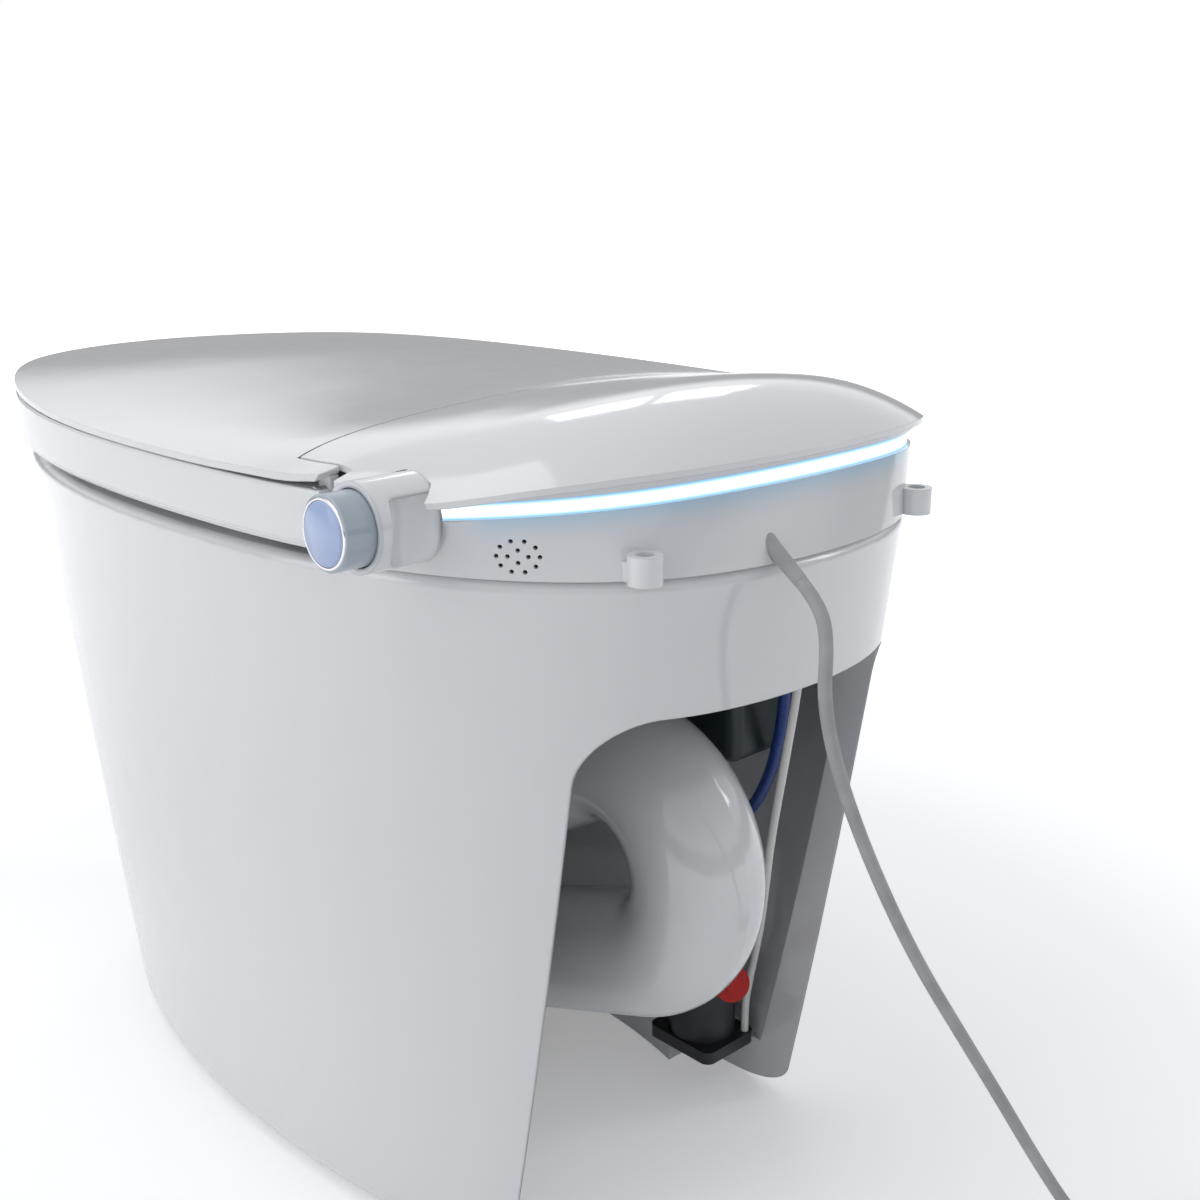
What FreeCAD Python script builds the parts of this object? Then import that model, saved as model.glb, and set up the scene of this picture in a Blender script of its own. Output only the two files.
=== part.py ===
"""Floor-standing smart toilet with a heated seat, as separate solids, in millimetres.

+Z is up, -Y is the front of the bowl and +X is the seated user's left, the side of the knob.
The origin is the centre of the waste outlet at floor level.
"""
import FreeCAD
import Part
import math
import os

# Plan of the pan, seat, lid and cover: superellipses about a common centre
CENTRE_Y = -5.0
PLAN_POINTS = 28
PAN_HALF = 191.0
PAN_FRONT = 333.0
PAN_BACK = 300.0
PAN_POWER_FRONT = 2.1
PAN_POWER_BACK = 2.5
SEAT_HALF = 196.5
SEAT_FRONT = 338.0
COVER_BACK = 291.0
COVER_POWER_BACK = 3.1

# Ceramic pan
RIM_Z = 390.0
RIM_RADIUS = 5.0
FOOT_RADIUS = 22.0
PAN_TAPER = 0.105          # inset of the skirt per millimetre below the rim
PAN_WALL = 12.0
FOOT_WIDTH = 40.0
FOOT_HEIGHT = 28.0
DECK_THICKNESS = 24.0
OPENING_HALF = 112.0       # rear service opening between the two legs
OPENING_TOP = 322.0
OPENING_CORNER = 32.0
LEG_RETURN = 46.0
BOWL_WALL = 11.0
BOWL_STATIONS = (          # height, centre y, half width, half length
    (392.0, -132.0, 132.0, 162.0),
    (345.0, -132.0, 130.0, 159.0),
    (250.0, -118.0, 106.0, 128.0),
    (175.0, -96.0, 72.0, 84.0),
    (125.0, -80.0, 44.0, 49.0),
    (98.0, -74.0, 27.0, 29.0),
)
DECK_HOLE = (-105.0, 112.0, 105.0, 246.0)      # x, y of two corners of the hose hole
BOLT_X = 118.0
BOLT_Y = 150.0
BOLT_RADIUS = 5.0

# Trapway, in the plane x = 0
TRAP_START = (-80.0, 118.0)
LOOP_CENTRE = (165.0, 192.0)
LOOP_RADIUS = 57.0
TRAP_OUTER = 36.0
TRAP_INNER = 26.0
ELBOW_RADIUS = 52.0
OUTLET_FALL = math.radians(20.0)
OUTLET_BORE = 34.0
OUTLET_OUTER = 46.0
OUTLET_DEPTH = 30.0

# Crown of the lid and cover: station y and height above the lid's edge on the centre line
LID_EDGE_Z = 430.0
CROWN_HALF = 197.0
CROWN = (
    (-380.0, 1.0), (-330.0, 1.5), (-270.0, 5.0), (-190.0, 8.0), (-100.0, 8.0), (-20.0, 8.5),
    (40.0, 10.5), (85.0, 14.5), (121.0, 20.0), (150.0, 24.5), (163.0, 26.3),
    (181.0, 28.5), (210.0, 32.0),
    (236.0, 33.0), (262.0, 30.5), (288.0, 21.0), (310.0, 9.0),
)
ROLL_START = 0.78
ROLL_DROP = 13.0
ROLL_FADE = (163.0, 196.0)

# Lid, seat and hinge line
HINGE_Y = 156.0
HINGE_Z = 424.0
HINGE_RADIUS = 3.0
SHAFT_BORE = 3.06
DAMPER_RADIUS = 11.5
EAR_RADIUS = 4.6
EAR_INNER_X = 174.0
EAR_SPLIT_X = 179.0
SHAFT_START_X = 118.0
SHAFT_END_X = 184.0
EAR_END_Y = 161.5
LID_SWING_Y = 169.5        # the lid's corners swing in front of this
LID_SWING_Z = 417.5
SEAM_Y = 119.5
SEAM_DEPTH = 31.0
SEAM_POWER = 6
SEAM_HALF = 188.0
SEAM_GAP = 1.5
SEAM_LEAN = 0.75           # the seam's wall leans back, so that the lid swings clear
LID_THICKNESS = 3.4
SEAT_BOTTOM = 398.0
SEAT_BASE_TOP = 401.5
SEAT_TOP = 426.0
SEAT_WALL = 3.0
SEAT_HOLE = (-112.0, 104.0, 142.0)             # centre y, half width, half length
SEAT_REAR_Y = 111.0
SEAT_BRIDGE_Y = 72.0
SEAT_BRIDGE_HALF = 100.0

# Housing
HOUSING_Z = 390.6
HOUSING_WALL = 3.0
HOUSING_TOP = 432.0
HOUSING_FRONT = 163.5
HOUSING_INSET = 5.0        # overhang of the cover at the top of the wall
TRAY_Z = HOUSING_Z + HOUSING_WALL
BOARD_Z = 430.0
WAND_WINDOW = (-66.0, 90.0, 78.0, 137.0)       # gap in the tray for the nose, x and y
COVER_THICKNESS = 3.0
LED_Z = 417.5              # middle of the light strip at LED_Y
LED_Y = 185.0
LED_RISE = 0.105
LED_HEIGHT = 7.0
LED_RECESS_START = 192.0   # the recess runs on a little in front of the strip
LED_START = 208.5
BOSS_X = 98.0
BOSS_Y = 277.5
BOSS_RADIUS = 8.0
BOSS_BORE = 2.5
BLUE_HOSE_RADIUS = 3.4
WHITE_HOSE_RADIUS = 2.4
HOSE_HOLES = ((-70.0, 221.0, BLUE_HOSE_RADIUS), (-66.0, 236.0, WHITE_HOSE_RADIUS))
SPEAKER_AT = (134.0, 236.0, 402.0)
SPEAKER_OUT = (0.74, 0.67, 0.0)

# Knob on the side of the housing, axis along X
KNOB_Y = 194.0
KNOB_Z = 416.0
KNOB_RADIUS = 17.0
KNOB_FACE_X = 205.0
KNOB_BACK_X = 187.0
COLLAR_RADIUS = 20.5
COLLAR_BACK_X = 158.0
SCOOP_AT = (171.0, 215.9)  # upright hollow that blends the collar's rim into the wall
SCOOP_RADIUS = 13.0
SCOOP_TOP = 429.5
ENCODER_BACK_X = 142.0
STEM_END_X = 145.0
FACE_RADIUS = 14.4         # push button in the middle of the knob

# Wash wands
WAND_SLOPE = math.radians(13.0)
WAND_TIP_Y = 24.0
WAND_TIP_Z = 399.0
WAND_X = 16.0
WAND_RADIUS = 6.5
WAND_LENGTH = 146.0
WAND_CLEARANCE = 0.35
TOOTH_PITCH = math.pi      # module 1
PINION_TEETH = 12
PINION_AT = 72.0           # distance of the pinion behind the wand's tip
MOTOR_RADIUS = 12.5
DUCT_X = (42.5, 62.5)
DUCT_BACK = 172.0
BLOWER = (88.0, 205.0)
NOSE = (-34.0, 25.0, 68.0, 86.0)                # x and y of the housing over the wands
RACK_DEPTH = 5.4           # pitch line below the wand's axis

# Parts inside the pan
PUMP = (-88.0, 146.0)
PUMP_TOP = 130.0
DRAIN_Z = 76.0
DRAIN_OUT = (0.38, 0.78, 0.3)
DRAIN_LENGTH = 42.0
INLET = (84.0, 224.0)
INLET_BODY_Z = 330.0
INLET_THREAD = 16.0

# Power cord
CORD_RADIUS = 3.25
CORD_EXIT = (30.0, 308.0, 385.0)
GLAND_BACK = (30.0, 289.0, 399.25)
CORD_ROUTE = (
    (30.0, 308.0, 385.0), (30.0, 320.4, 375.7), (35.0, 328.5, 360.5), (39.5, 331.0, 339.0),
    (33.0, 333.0, 309.0), (18.0, 336.0, 272.0), (-1.0, 341.0, 231.0), (-23.0, 348.0, 188.0),
    (-46.0, 358.0, 147.0), (-67.0, 370.0, 107.0), (-87.0, 383.0, 66.0), (-104.0, 398.0, 30.0),
    (-119.0, 418.0, 7.0), (-129.0, 444.0, 3.3), (-129.0, 464.0, 3.3),
)
COIL_RADIUS = 43.0         # outermost turn
COIL_STEP = 7.1            # from turn to turn and from layer to layer
COIL_TURNS = 5.0
COIL_CLIMB = 0.5           # turns taken by the change of layer, in the middle
COIL_LEAD_OUT = 25.0
PLUG_LENGTH = 58.0

V = FreeCAD.Vector
X_AXIS = V(1, 0, 0)
Y_AXIS = V(0, 1, 0)
Z_AXIS = V(0, 0, 1)


# ---------------------------------------------------------------- helpers
def box(x0, y0, z0, x1, y1, z1):
    return Part.makeBox(x1 - x0, y1 - y0, z1 - z0, V(x0, y0, z0))


def rod(start, direction, radius, length):
    return Part.makeCylinder(radius, length, V(*start), direction)


def prism(points, direction):
    """Extrude a closed outline of straight sides."""
    corners = [V(*point) for point in points]
    return Part.Face(Part.makePolygon(corners + corners[:1])).extrude(direction)


def signed_power(value, power):
    return math.copysign(abs(value) ** power, value)


def plan_wire(z, half, front, back, power_front, power_back):
    """Closed smooth outline: one superellipse in front of the centre and one behind it."""
    points = []
    for index in range(PLAN_POINTS):
        angle = 2.0 * math.pi * (index + 0.5) / PLAN_POINTS
        behind = math.sin(angle) > 0
        length = back if behind else front
        power = 2.0 / (power_back if behind else power_front)
        x = half * signed_power(math.cos(angle), power)
        y = CENTRE_Y + length * signed_power(math.sin(angle), power)
        points.append(V(x, y, z))
    curve = Part.BSplineCurve()
    curve.interpolate(Points=points, PeriodicFlag=True)
    return Part.Wire([curve.toShape()])


def pan_wire(z, inset):
    inset += PAN_TAPER * (RIM_Z - z)
    return plan_wire(z, PAN_HALF - inset, PAN_FRONT - inset, PAN_BACK - inset,
                     PAN_POWER_FRONT, PAN_POWER_BACK)


def seat_wire(z, inset=0.0):
    return plan_wire(z, SEAT_HALF - inset, SEAT_FRONT - inset, COVER_BACK - inset,
                     PAN_POWER_FRONT, COVER_POWER_BACK)


def column(wire, height):
    return Part.Face(wire).extrude(V(0, 0, height))


def skirt(inset, bottom, top):
    return Part.makeLoft([pan_wire(bottom, inset), pan_wire(top, inset)], True, True)


def round_level_edges(shape, level, radius):
    """Round every edge that lies flat at one height."""
    edges = [edge for edge in shape.Edges
             if abs(edge.BoundBox.ZMin - level) < 0.01 and abs(edge.BoundBox.ZMax - level) < 0.01]
    return shape.makeFillet(radius, edges)


def oval(z, y, half_width, half_length):
    ellipse = Part.Ellipse(V(0, y + half_length, z), V(half_width, y, z), V(0, y, z))
    return Part.Wire([ellipse.toShape()])


def tube_on(path_edges, radius):
    """Sweep a circle along joined lines and arcs."""
    path = Part.Wire(path_edges)
    first = path.Edges[0]
    start = first.valueAt(first.FirstParameter)
    direction = first.tangentAt(first.FirstParameter)
    circle = Part.Wire([Part.Circle(start, direction, radius).toShape()])
    return path.makePipeShell([circle], True, False)


def corner_arc(enter, corner, leave):
    """Arc tangent to both legs of a corner whose two legs are equally long."""
    turn = (corner - enter).getAngle(leave - corner)
    weight = math.cos(turn / 2.0)
    middle = (enter + leave + 2.0 * weight * corner) * (0.5 / (1.0 + weight))
    return Part.Arc(enter, middle, leave).toShape()


def both_sides(shape):
    mirror = shape.mirror(V(0, 0, 0), X_AXIS)
    return Part.makeCompound([shape, mirror])


# ---------------------------------------------------------------- ceramic pan
def trap_edges():
    """Centre line of the trapway: up-leg, loop over the weir, fall and outlet elbow."""
    start = V(0, *TRAP_START)
    centre = V(0, *LOOP_CENTRE)
    away = centre - start
    rise = math.atan2(away.z, away.y) + math.asin(LOOP_RADIUS / away.Length)
    on_loop = centre + LOOP_RADIUS * V(0, -math.sin(rise), math.cos(rise))
    rear = centre + LOOP_RADIUS * Y_AXIS
    off_loop = centre + LOOP_RADIUS * V(0, math.sin(OUTLET_FALL), -math.cos(OUTLET_FALL))
    elbow_y = ELBOW_RADIUS * (1.0 - math.sin(OUTLET_FALL))
    elbow_z = off_loop.z - (off_loop.y - elbow_y) * math.tan(OUTLET_FALL)
    elbow_in = V(0, elbow_y, elbow_z)
    hub = V(0, ELBOW_RADIUS, elbow_z - ELBOW_RADIUS * math.cos(OUTLET_FALL))
    turn = math.pi - 0.5 * (math.pi / 2.0 - OUTLET_FALL)
    elbow_mid = hub + ELBOW_RADIUS * V(0, math.cos(turn), math.sin(turn))
    elbow_out = V(0, 0, hub.z)
    floor = V(0, 0, 0)
    return [
        Part.LineSegment(start, on_loop).toShape(),
        Part.Arc(on_loop, rear, off_loop).toShape(),
        Part.LineSegment(off_loop, elbow_in).toShape(),
        Part.Arc(elbow_in, elbow_mid, elbow_out).toShape(),
        Part.LineSegment(elbow_out, floor).toShape(),
    ]


def rear_opening():
    """Service opening in the back of the skirt, open to the floor, with rounded top corners."""
    block = box(-OPENING_HALF, 120, -1, OPENING_HALF, 340, OPENING_TOP)
    corners = [edge for edge in block.Edges
               if edge.BoundBox.YLength > 100 and edge.BoundBox.ZMin > OPENING_TOP - 1]
    return block.makeFillet(OPENING_CORNER, corners)


def pan_cavity():
    """Hollow inside the skirt, with a foot flange all round and returned edges on the legs."""
    upper = skirt(PAN_WALL, FOOT_HEIGHT, RIM_Z - DECK_THICKNESS)
    lower = column(pan_wire(-1.0, PAN_WALL + FOOT_WIDTH), FOOT_HEIGHT + 2.0)
    leg = OPENING_HALF + PAN_WALL
    back = box(OPENING_HALF, PAN_BACK - 3 * PAN_WALL - LEG_RETURN, -2, leg, PAN_BACK + 20, RIM_Z)
    return upper.fuse(lower).cut(both_sides(back))


def ceramic_pan():
    body = skirt(0.0, 0.0, RIM_Z)
    body = round_level_edges(body, RIM_Z, RIM_RADIUS)
    body = round_level_edges(body, 0.0, FOOT_RADIUS)
    shell = body.cut(pan_cavity()).cut(rear_opening())
    outer = [oval(z - 8.0, y, a + BOWL_WALL, b + BOWL_WALL) for z, y, a, b in BOWL_STATIONS]
    inner = [oval(z, y, a, b) for z, y, a, b in BOWL_STATIONS]
    bowl = Part.makeLoft(outer, True, False).common(box(-250, -400, 60, 250, 250, RIM_Z - 6))
    path = trap_edges()
    horn = rod((0, 0, 0), Z_AXIS, OUTLET_OUTER, OUTLET_DEPTH + 6)
    solid = shell.fuse([bowl, tube_on(path, TRAP_OUTER), horn])
    solid = solid.cut(Part.makeLoft(inner, True, False))
    solid = solid.cut(tube_on(path, TRAP_INNER))
    solid = solid.cut(rod((0, 0, -1), Z_AXIS, OUTLET_BORE, OUTLET_DEPTH + 1))
    x0, y0, x1, y1 = DECK_HOLE
    solid = solid.cut(box(x0, y0, RIM_Z - 60, x1, y1, RIM_Z + 5))
    for side in (-1, 1):
        solid = solid.cut(rod((side * BOLT_X, BOLT_Y, -1), Z_AXIS, BOLT_RADIUS, FOOT_HEIGHT + 5))
    return solid


def outlet_seal():
    ring = rod((0, 0, 0), Z_AXIS, OUTLET_OUTER + 14, 22)
    return ring.cut(rod((0, 0, -1), Z_AXIS, OUTLET_OUTER, 30))


# ---------------------------------------------------------------- crowned lid and cover
def crown_surface():
    """Smooth top surface of lid and cover together, rolled down towards the rear outline."""
    steps = [-210.0 + 35.0 * index for index in range(13)]
    rows = []
    for y, height in CROWN:
        fade = min(max((y - ROLL_FADE[0]) / (ROLL_FADE[1] - ROLL_FADE[0]), 0.0), 1.0)
        row = []
        for x in steps:
            reach = (abs(x) / SEAT_HALF) ** COVER_POWER_BACK
            reach += (max(y - CENTRE_Y, 0.0) / COVER_BACK) ** COVER_POWER_BACK
            reach = min(reach ** (1.0 / COVER_POWER_BACK), 1.12)
            roll = ROLL_DROP * fade * (max(reach - ROLL_START, 0.0) / (1.0 - ROLL_START)) ** 2
            z = LID_EDGE_Z + height * (1.0 - (x / CROWN_HALF) ** 2) - roll
            row.append(V(x, y, z))
        rows.append(row)
    surface = Part.BSplineSurface()
    surface.interpolate(rows)
    return surface.toShape()


def crown_slab(top_offset, thickness):
    sheet = crown_surface()
    sheet.translate(V(0, 0, top_offset))
    return sheet.extrude(V(0, 0, -thickness))


def seam_points(gap, count=9):
    """Front edge of the cover: almost straight, turning back at both sides."""
    points = []
    for index in range(count):
        x = -EAR_INNER_X + gap + index * 2.0 * (EAR_INNER_X - gap) / (count - 1)
        points.append(V(x, SEAM_Y + gap + SEAM_DEPTH * (abs(x) / SEAM_HALF) ** SEAM_POWER, 0))
    return points


def seam_face(gap, side_y, far_y):
    """Plan region on one side of the seam, with the hinge ears' corners given to the lid."""
    points = seam_points(gap)
    curve = Part.BSplineCurve()
    curve.interpolate(points)
    left, right = points[0], points[-1]
    path = [right, V(right.x, side_y, 0), V(260, side_y, 0), V(260, far_y, 0),
            V(-260, far_y, 0), V(-260, side_y, 0), V(left.x, side_y, 0), left]
    edges = [Part.LineSegment(a, b).toShape() for a, b in zip(path, path[1:])]
    return Part.Face(Part.Wire([curve.toShape()] + edges))


def leaning_region(gap, side_y, far_y):
    """The plan region carried upwards along the seam's leaning wall, true at the crown."""
    crown = LID_EDGE_Z + 20.0
    low = 400.0
    face = seam_face(gap, side_y, far_y)
    face.translate(V(0, -SEAM_LEAN * (crown - low), low))
    return face.extrude(V(0, SEAM_LEAN * 70.0, 70.0))


def lid_panel():
    region = leaning_region(0.0, EAR_END_Y + 12, -480.0)
    region = region.common(box(-260, -420, 380, 260, EAR_END_Y, 480))
    blank = column(seat_wire(380.0), 140).common(region)
    panel = crown_slab(0.0, LID_THICKNESS).common(blank)
    for side in (-1, 1):
        panel = panel.fuse(lid_ear(side))
    panel = panel.cut(rod((EAR_INNER_X - 1, HINGE_Y, HINGE_Z), X_AXIS, HINGE_RADIUS, 11))
    return panel.cut(rod((-EAR_SPLIT_X - 1, HINGE_Y, HINGE_Z), X_AXIS, SHAFT_BORE, 11))


def lid_ear(side):
    """Hinge ear under the lid's rear corner, reaching up into the panel."""
    x = EAR_INNER_X if side > 0 else 0.4 - EAR_SPLIT_X
    width = EAR_SPLIT_X - EAR_INNER_X - 0.4
    barrel = rod((x, HINGE_Y, HINGE_Z), X_AXIS, EAR_RADIUS, width)
    web = box(x, HINGE_Y - EAR_RADIUS, HINGE_Z, x + width, HINGE_Y + EAR_RADIUS, LID_EDGE_Z + 2)
    return barrel.fuse(web.common(crown_slab(-0.2, 30)))


def lid_bumpers():
    spots = [(x, y) for x in (-150.0, 150.0) for y in (-90.0, 70.0)]
    pads = [rod((x, y, SEAT_TOP + 0.1), Z_AXIS, 7, 16) for x, y in spots]
    under = crown_slab(-LID_THICKNESS, 60)
    return Part.makeCompound([pad.common(under) for pad in pads])


def lid_drive_shaft():
    return rod((SHAFT_START_X, HINGE_Y, HINGE_Z), X_AXIS, HINGE_RADIUS,
               SHAFT_END_X - SHAFT_START_X)


# ---------------------------------------------------------------- heated seat
def seat_plan(bottom, height, inset=0.0):
    """Ring with a short bridge behind the opening and two arms to the hinge line."""
    ring = column(seat_wire(bottom, inset), height)
    y, a, b = SEAT_HOLE
    hole = column(oval(bottom - 1, y, a + inset, b + inset), height + 2)
    top = bottom + height + 1
    behind = box(-EAR_SPLIT_X - inset, SEAT_REAR_Y - inset, bottom - 1,
                 EAR_SPLIT_X + inset, 400, top)
    bridge = box(-SEAT_BRIDGE_HALF - inset, SEAT_BRIDGE_Y - inset, bottom - 1,
                 SEAT_BRIDGE_HALF + inset, 400, top)
    end = box(-300, HINGE_Y + EAR_RADIUS - inset, bottom - 1, 300, 400, top)
    return ring.cut([hole, behind, bridge, end])


def nozzle_recess(grow, roof):
    return box(-66 - grow, SEAT_HOLE[0] + 90, SEAT_BOTTOM - 1, 70 + grow, 100, roof)


def seat_shell():
    shell = seat_plan(SEAT_BASE_TOP, SEAT_TOP - SEAT_BASE_TOP)
    shell = round_seat_top(shell)
    hollow = seat_plan(SEAT_BASE_TOP - 1, SEAT_TOP - SEAT_WALL - SEAT_BASE_TOP + 1, SEAT_WALL)
    hollow = hollow.cut(nozzle_recess(3.0, SEAT_TOP))
    hollow = hollow.cut(box(-300, SEAT_REAR_Y - 4, 380, 300, 400, 440))
    shell = shell.cut(hollow).cut(nozzle_recess(0.0, SEAT_TOP - 5))
    start = EAR_SPLIT_X - 2.0
    depth = SHAFT_END_X - start
    shell = shell.cut(rod((start, HINGE_Y, HINGE_Z), X_AXIS, SHAFT_BORE, depth + 0.3))
    return shell.cut(rod((-start, HINGE_Y, HINGE_Z), -X_AXIS, HINGE_RADIUS, depth))


def round_seat_top(shell):
    """Soft inner edge of the sitting surface and a small radius outside."""
    y, a, b = SEAT_HOLE
    inner = [edge for edge in shell.Edges
             if edge.BoundBox.ZMin > SEAT_TOP - 0.01 and edge.BoundBox.YMax < y + b + 1
             and edge.BoundBox.XMax < a + 1 and edge.BoundBox.XMin > -a - 1]
    shell = shell.makeFillet(9.0, inner)
    outer = [edge for edge in shell.Edges
             if edge.BoundBox.ZMin > SEAT_TOP - 0.01 and edge.BoundBox.YMin < 30 - SEAT_FRONT]
    return shell.makeFillet(1.5, outer)


def seat_base():
    plate = seat_plan(SEAT_BOTTOM, SEAT_BASE_TOP - SEAT_BOTTOM)
    edges = [edge for edge in plate.Edges
             if edge.BoundBox.ZMax < SEAT_BOTTOM + 0.01 and edge.BoundBox.YMin < -SEAT_FRONT + 30]
    plate = plate.makeChamfer(2.6, edges)
    return plate.cut(nozzle_recess(0.0, SEAT_TOP - 5))


def seat_heater():
    """Heating foil under the sitting surface: a thin ring on the inside of the shell."""
    level = SEAT_TOP - SEAT_WALL - 0.6
    ring = column(seat_wire(level, 16.0), 0.6)
    y, a, b = SEAT_HOLE
    ring = ring.cut(column(oval(level - 1, y, a + 14, b + 14), 3))
    return ring.cut(box(-300, 6, level - 1, 300, 400, level + 2))


def seat_bumpers():
    spots = [(x, y) for x in (-152.0, 152.0) for y in (-150.0, 40.0)]
    pads = []
    for x, y in spots:
        pad = rod((x, y, RIM_Z + 0.4), Z_AXIS, 9, SEAT_BOTTOM - RIM_Z - 0.4)
        flat = [edge for edge in pad.Edges if edge.BoundBox.ZMax < RIM_Z + 0.5]
        pads.append(pad.makeFillet(2.0, flat))
    return Part.makeCompound(pads)


def seat_drive_shaft():
    return rod((-SHAFT_START_X, HINGE_Y, HINGE_Z), -X_AXIS, HINGE_RADIUS,
               SHAFT_END_X - SHAFT_START_X)


def damper(side):
    """Soft-close unit in the housing: drum with a flange and a bore for the hinge shaft."""
    direction = V(side, 0, 0)
    drum = rod((side * 93, HINGE_Y, HINGE_Z), direction, DAMPER_RADIUS, 51)
    flange = box(-12.5, -12.5, 0, 12.5, 12.5, 3)
    flange.rotate(V(0, 0, 0), Y_AXIS, 90 * side)
    flange.translate(V(side * 138, HINGE_Y, HINGE_Z))
    unit = drum.fuse(flange)
    return unit.cut(rod((side * 116, HINGE_Y, HINGE_Z), direction, SHAFT_BORE, 40))


# ---------------------------------------------------------------- housing
def housing_block(inset):
    """Solid of the rear housing between the pan's outline and the cover's outline."""
    low = plan_wire(HOUSING_Z, PAN_HALF - inset, PAN_FRONT, PAN_BACK - inset,
                    PAN_POWER_FRONT, PAN_POWER_BACK)
    inset += HOUSING_INSET
    high = plan_wire(HOUSING_TOP, SEAT_HALF - inset, SEAT_FRONT, COVER_BACK - inset,
                     PAN_POWER_FRONT, COVER_POWER_BACK)
    return Part.makeLoft([low, high], True, True)


def led_plane_block(offset, thickness, y_from=60.0):
    """Slanted slab that follows the light strip, offset from its lower edge."""
    def level(y):
        return LED_Z - LED_HEIGHT / 2 + LED_RISE * (y - LED_Y) + offset
    corners = [(-260, y_from, level(y_from)), (-260, 340, level(340)),
               (-260, 340, level(340) + thickness), (-260, y_from, level(y_from) + thickness)]
    return prism(corners, V(520, 0, 0))


def housing_region(gap):
    """Plan of the housing: behind the seat's arms at the sides and under the lid in the middle."""
    region = seam_face(gap, HOUSING_FRONT, 420.0)
    region.translate(V(0, 0, HOUSING_Z - 5))
    return region.extrude(V(0, 0, 120))


def housing_base():
    outer = housing_block(0.0)
    region = housing_region(SEAM_GAP + 1.0)
    ring = outer.cut(housing_block(HOUSING_WALL)).common(region)
    tray = outer.common(box(-300, 0, 380, 300, 400, TRAY_Z)).common(region)
    front = housing_block(HOUSING_WALL).common(region)
    front = front.cut(housing_region(SEAM_GAP + 1.0 + HOUSING_WALL))
    block = ring.fuse([tray, front])
    block = block.cut(led_plane_block(LED_HEIGHT + 0.5, 90, 0.0))
    block = block.cut(led_plane_block(0.0, 90, LED_RECESS_START))
    block = block.cut(both_sides(box(EAR_INNER_X - SEAM_GAP - 1.0, 0, LID_SWING_Z,
                                     300, LID_SWING_Y, 480)))
    block = block.fuse([knob_collar(), rear_boss(-1), rear_boss(1), damper_cradle(-1),
                        damper_cradle(1)])
    block = block.cut(rod((ENCODER_BACK_X, KNOB_Y, KNOB_Z), X_AXIS, 8.3, 19))
    block = block.cut(rod((COLLAR_BACK_X, KNOB_Y, KNOB_Z), X_AXIS, 5.4, 40))
    block = block.cut(rod((KNOB_BACK_X - 1.5, KNOB_Y, KNOB_Z), X_AXIS, KNOB_RADIUS + 0.6, 8))
    x0, y0, x1, y1 = WAND_WINDOW
    block = block.cut(box(x0, y0, 380, x1, y1, 470))
    for x, y, radius in HOSE_HOLES:
        block = block.cut(rod((x, y, 380), Z_AXIS, radius, 20))
    block = block.cut(speaker_holes())
    start = V(*GLAND_BACK) - 8 * gland_direction()
    block = block.cut(rod(tuple(start), gland_direction(), CORD_RADIUS + 0.7, 40))
    for side in (-1, 1):
        block = block.cut(rod((side * 140, HINGE_Y, HINGE_Z), V(side, 0, 0), 3.3, 40))
        block = block.cut(rod((side * BOSS_X, BOSS_Y, 380), Z_AXIS, BOSS_BORE, 40))
        block = block.cut(rod((side * BOSS_X, BOSS_Y, HOUSING_Z + 9.4), Z_AXIS, 4.3, 10))
    return block


def knob_collar():
    """Round boss on the left wall that carries the knob, hollowed towards the rear."""
    collar = rod((COLLAR_BACK_X, KNOB_Y, KNOB_Z), X_AXIS, COLLAR_RADIUS,
                 KNOB_BACK_X - COLLAR_BACK_X + 3)
    scoop = rod((SCOOP_AT[0], SCOOP_AT[1], 380), Z_AXIS, SCOOP_RADIUS, SCOOP_TOP - 380)
    return collar.cut([scoop, box(150, 150, 380, 210, 240, HOUSING_Z)])


def damper_cradle(side):
    """Saddle on the tray under a soft-close unit."""
    saddles = [box(x, HINGE_Y - 10, TRAY_Z - 0.5, x + 8, HINGE_Y + 10, HINGE_Z - 6)
               for x in (side * 104 - 4, side * 128 - 4)]
    drum = rod((side * 80, HINGE_Y, HINGE_Z), V(side, 0, 0), DAMPER_RADIUS, 70)
    return saddles[0].fuse(saddles[1]).cut(drum)


def rear_boss(side):
    """Screw boss behind the wall, joined to it by a short web."""
    boss = rod((side * BOSS_X, BOSS_Y, HOUSING_Z), Z_AXIS, BOSS_RADIUS, 13.4)
    web = box(side * BOSS_X - 4, BOSS_Y - 14, HOUSING_Z, side * BOSS_X + 4, BOSS_Y, HOUSING_Z + 9)
    return boss.fuse(web)


def speaker_holes():
    """Ten holes round four, square to the wall beside the left shoulder."""
    out = V(*SPEAKER_OUT)
    side = V(-out.y, out.x, 0)
    holes = []
    for count, across, high in ((10, 9.6, 7.4), (4, 4.6, 2.9)):
        for index in range(count):
            angle = 2.0 * math.pi * index / count
            place = V(*SPEAKER_AT) + across * math.cos(angle) * side
            place += high * math.sin(angle) * Z_AXIS - 4.0 * out
            holes.append(Part.makeCylinder(1.0, 30, place, out))
    return Part.makeCompound(holes)


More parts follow.
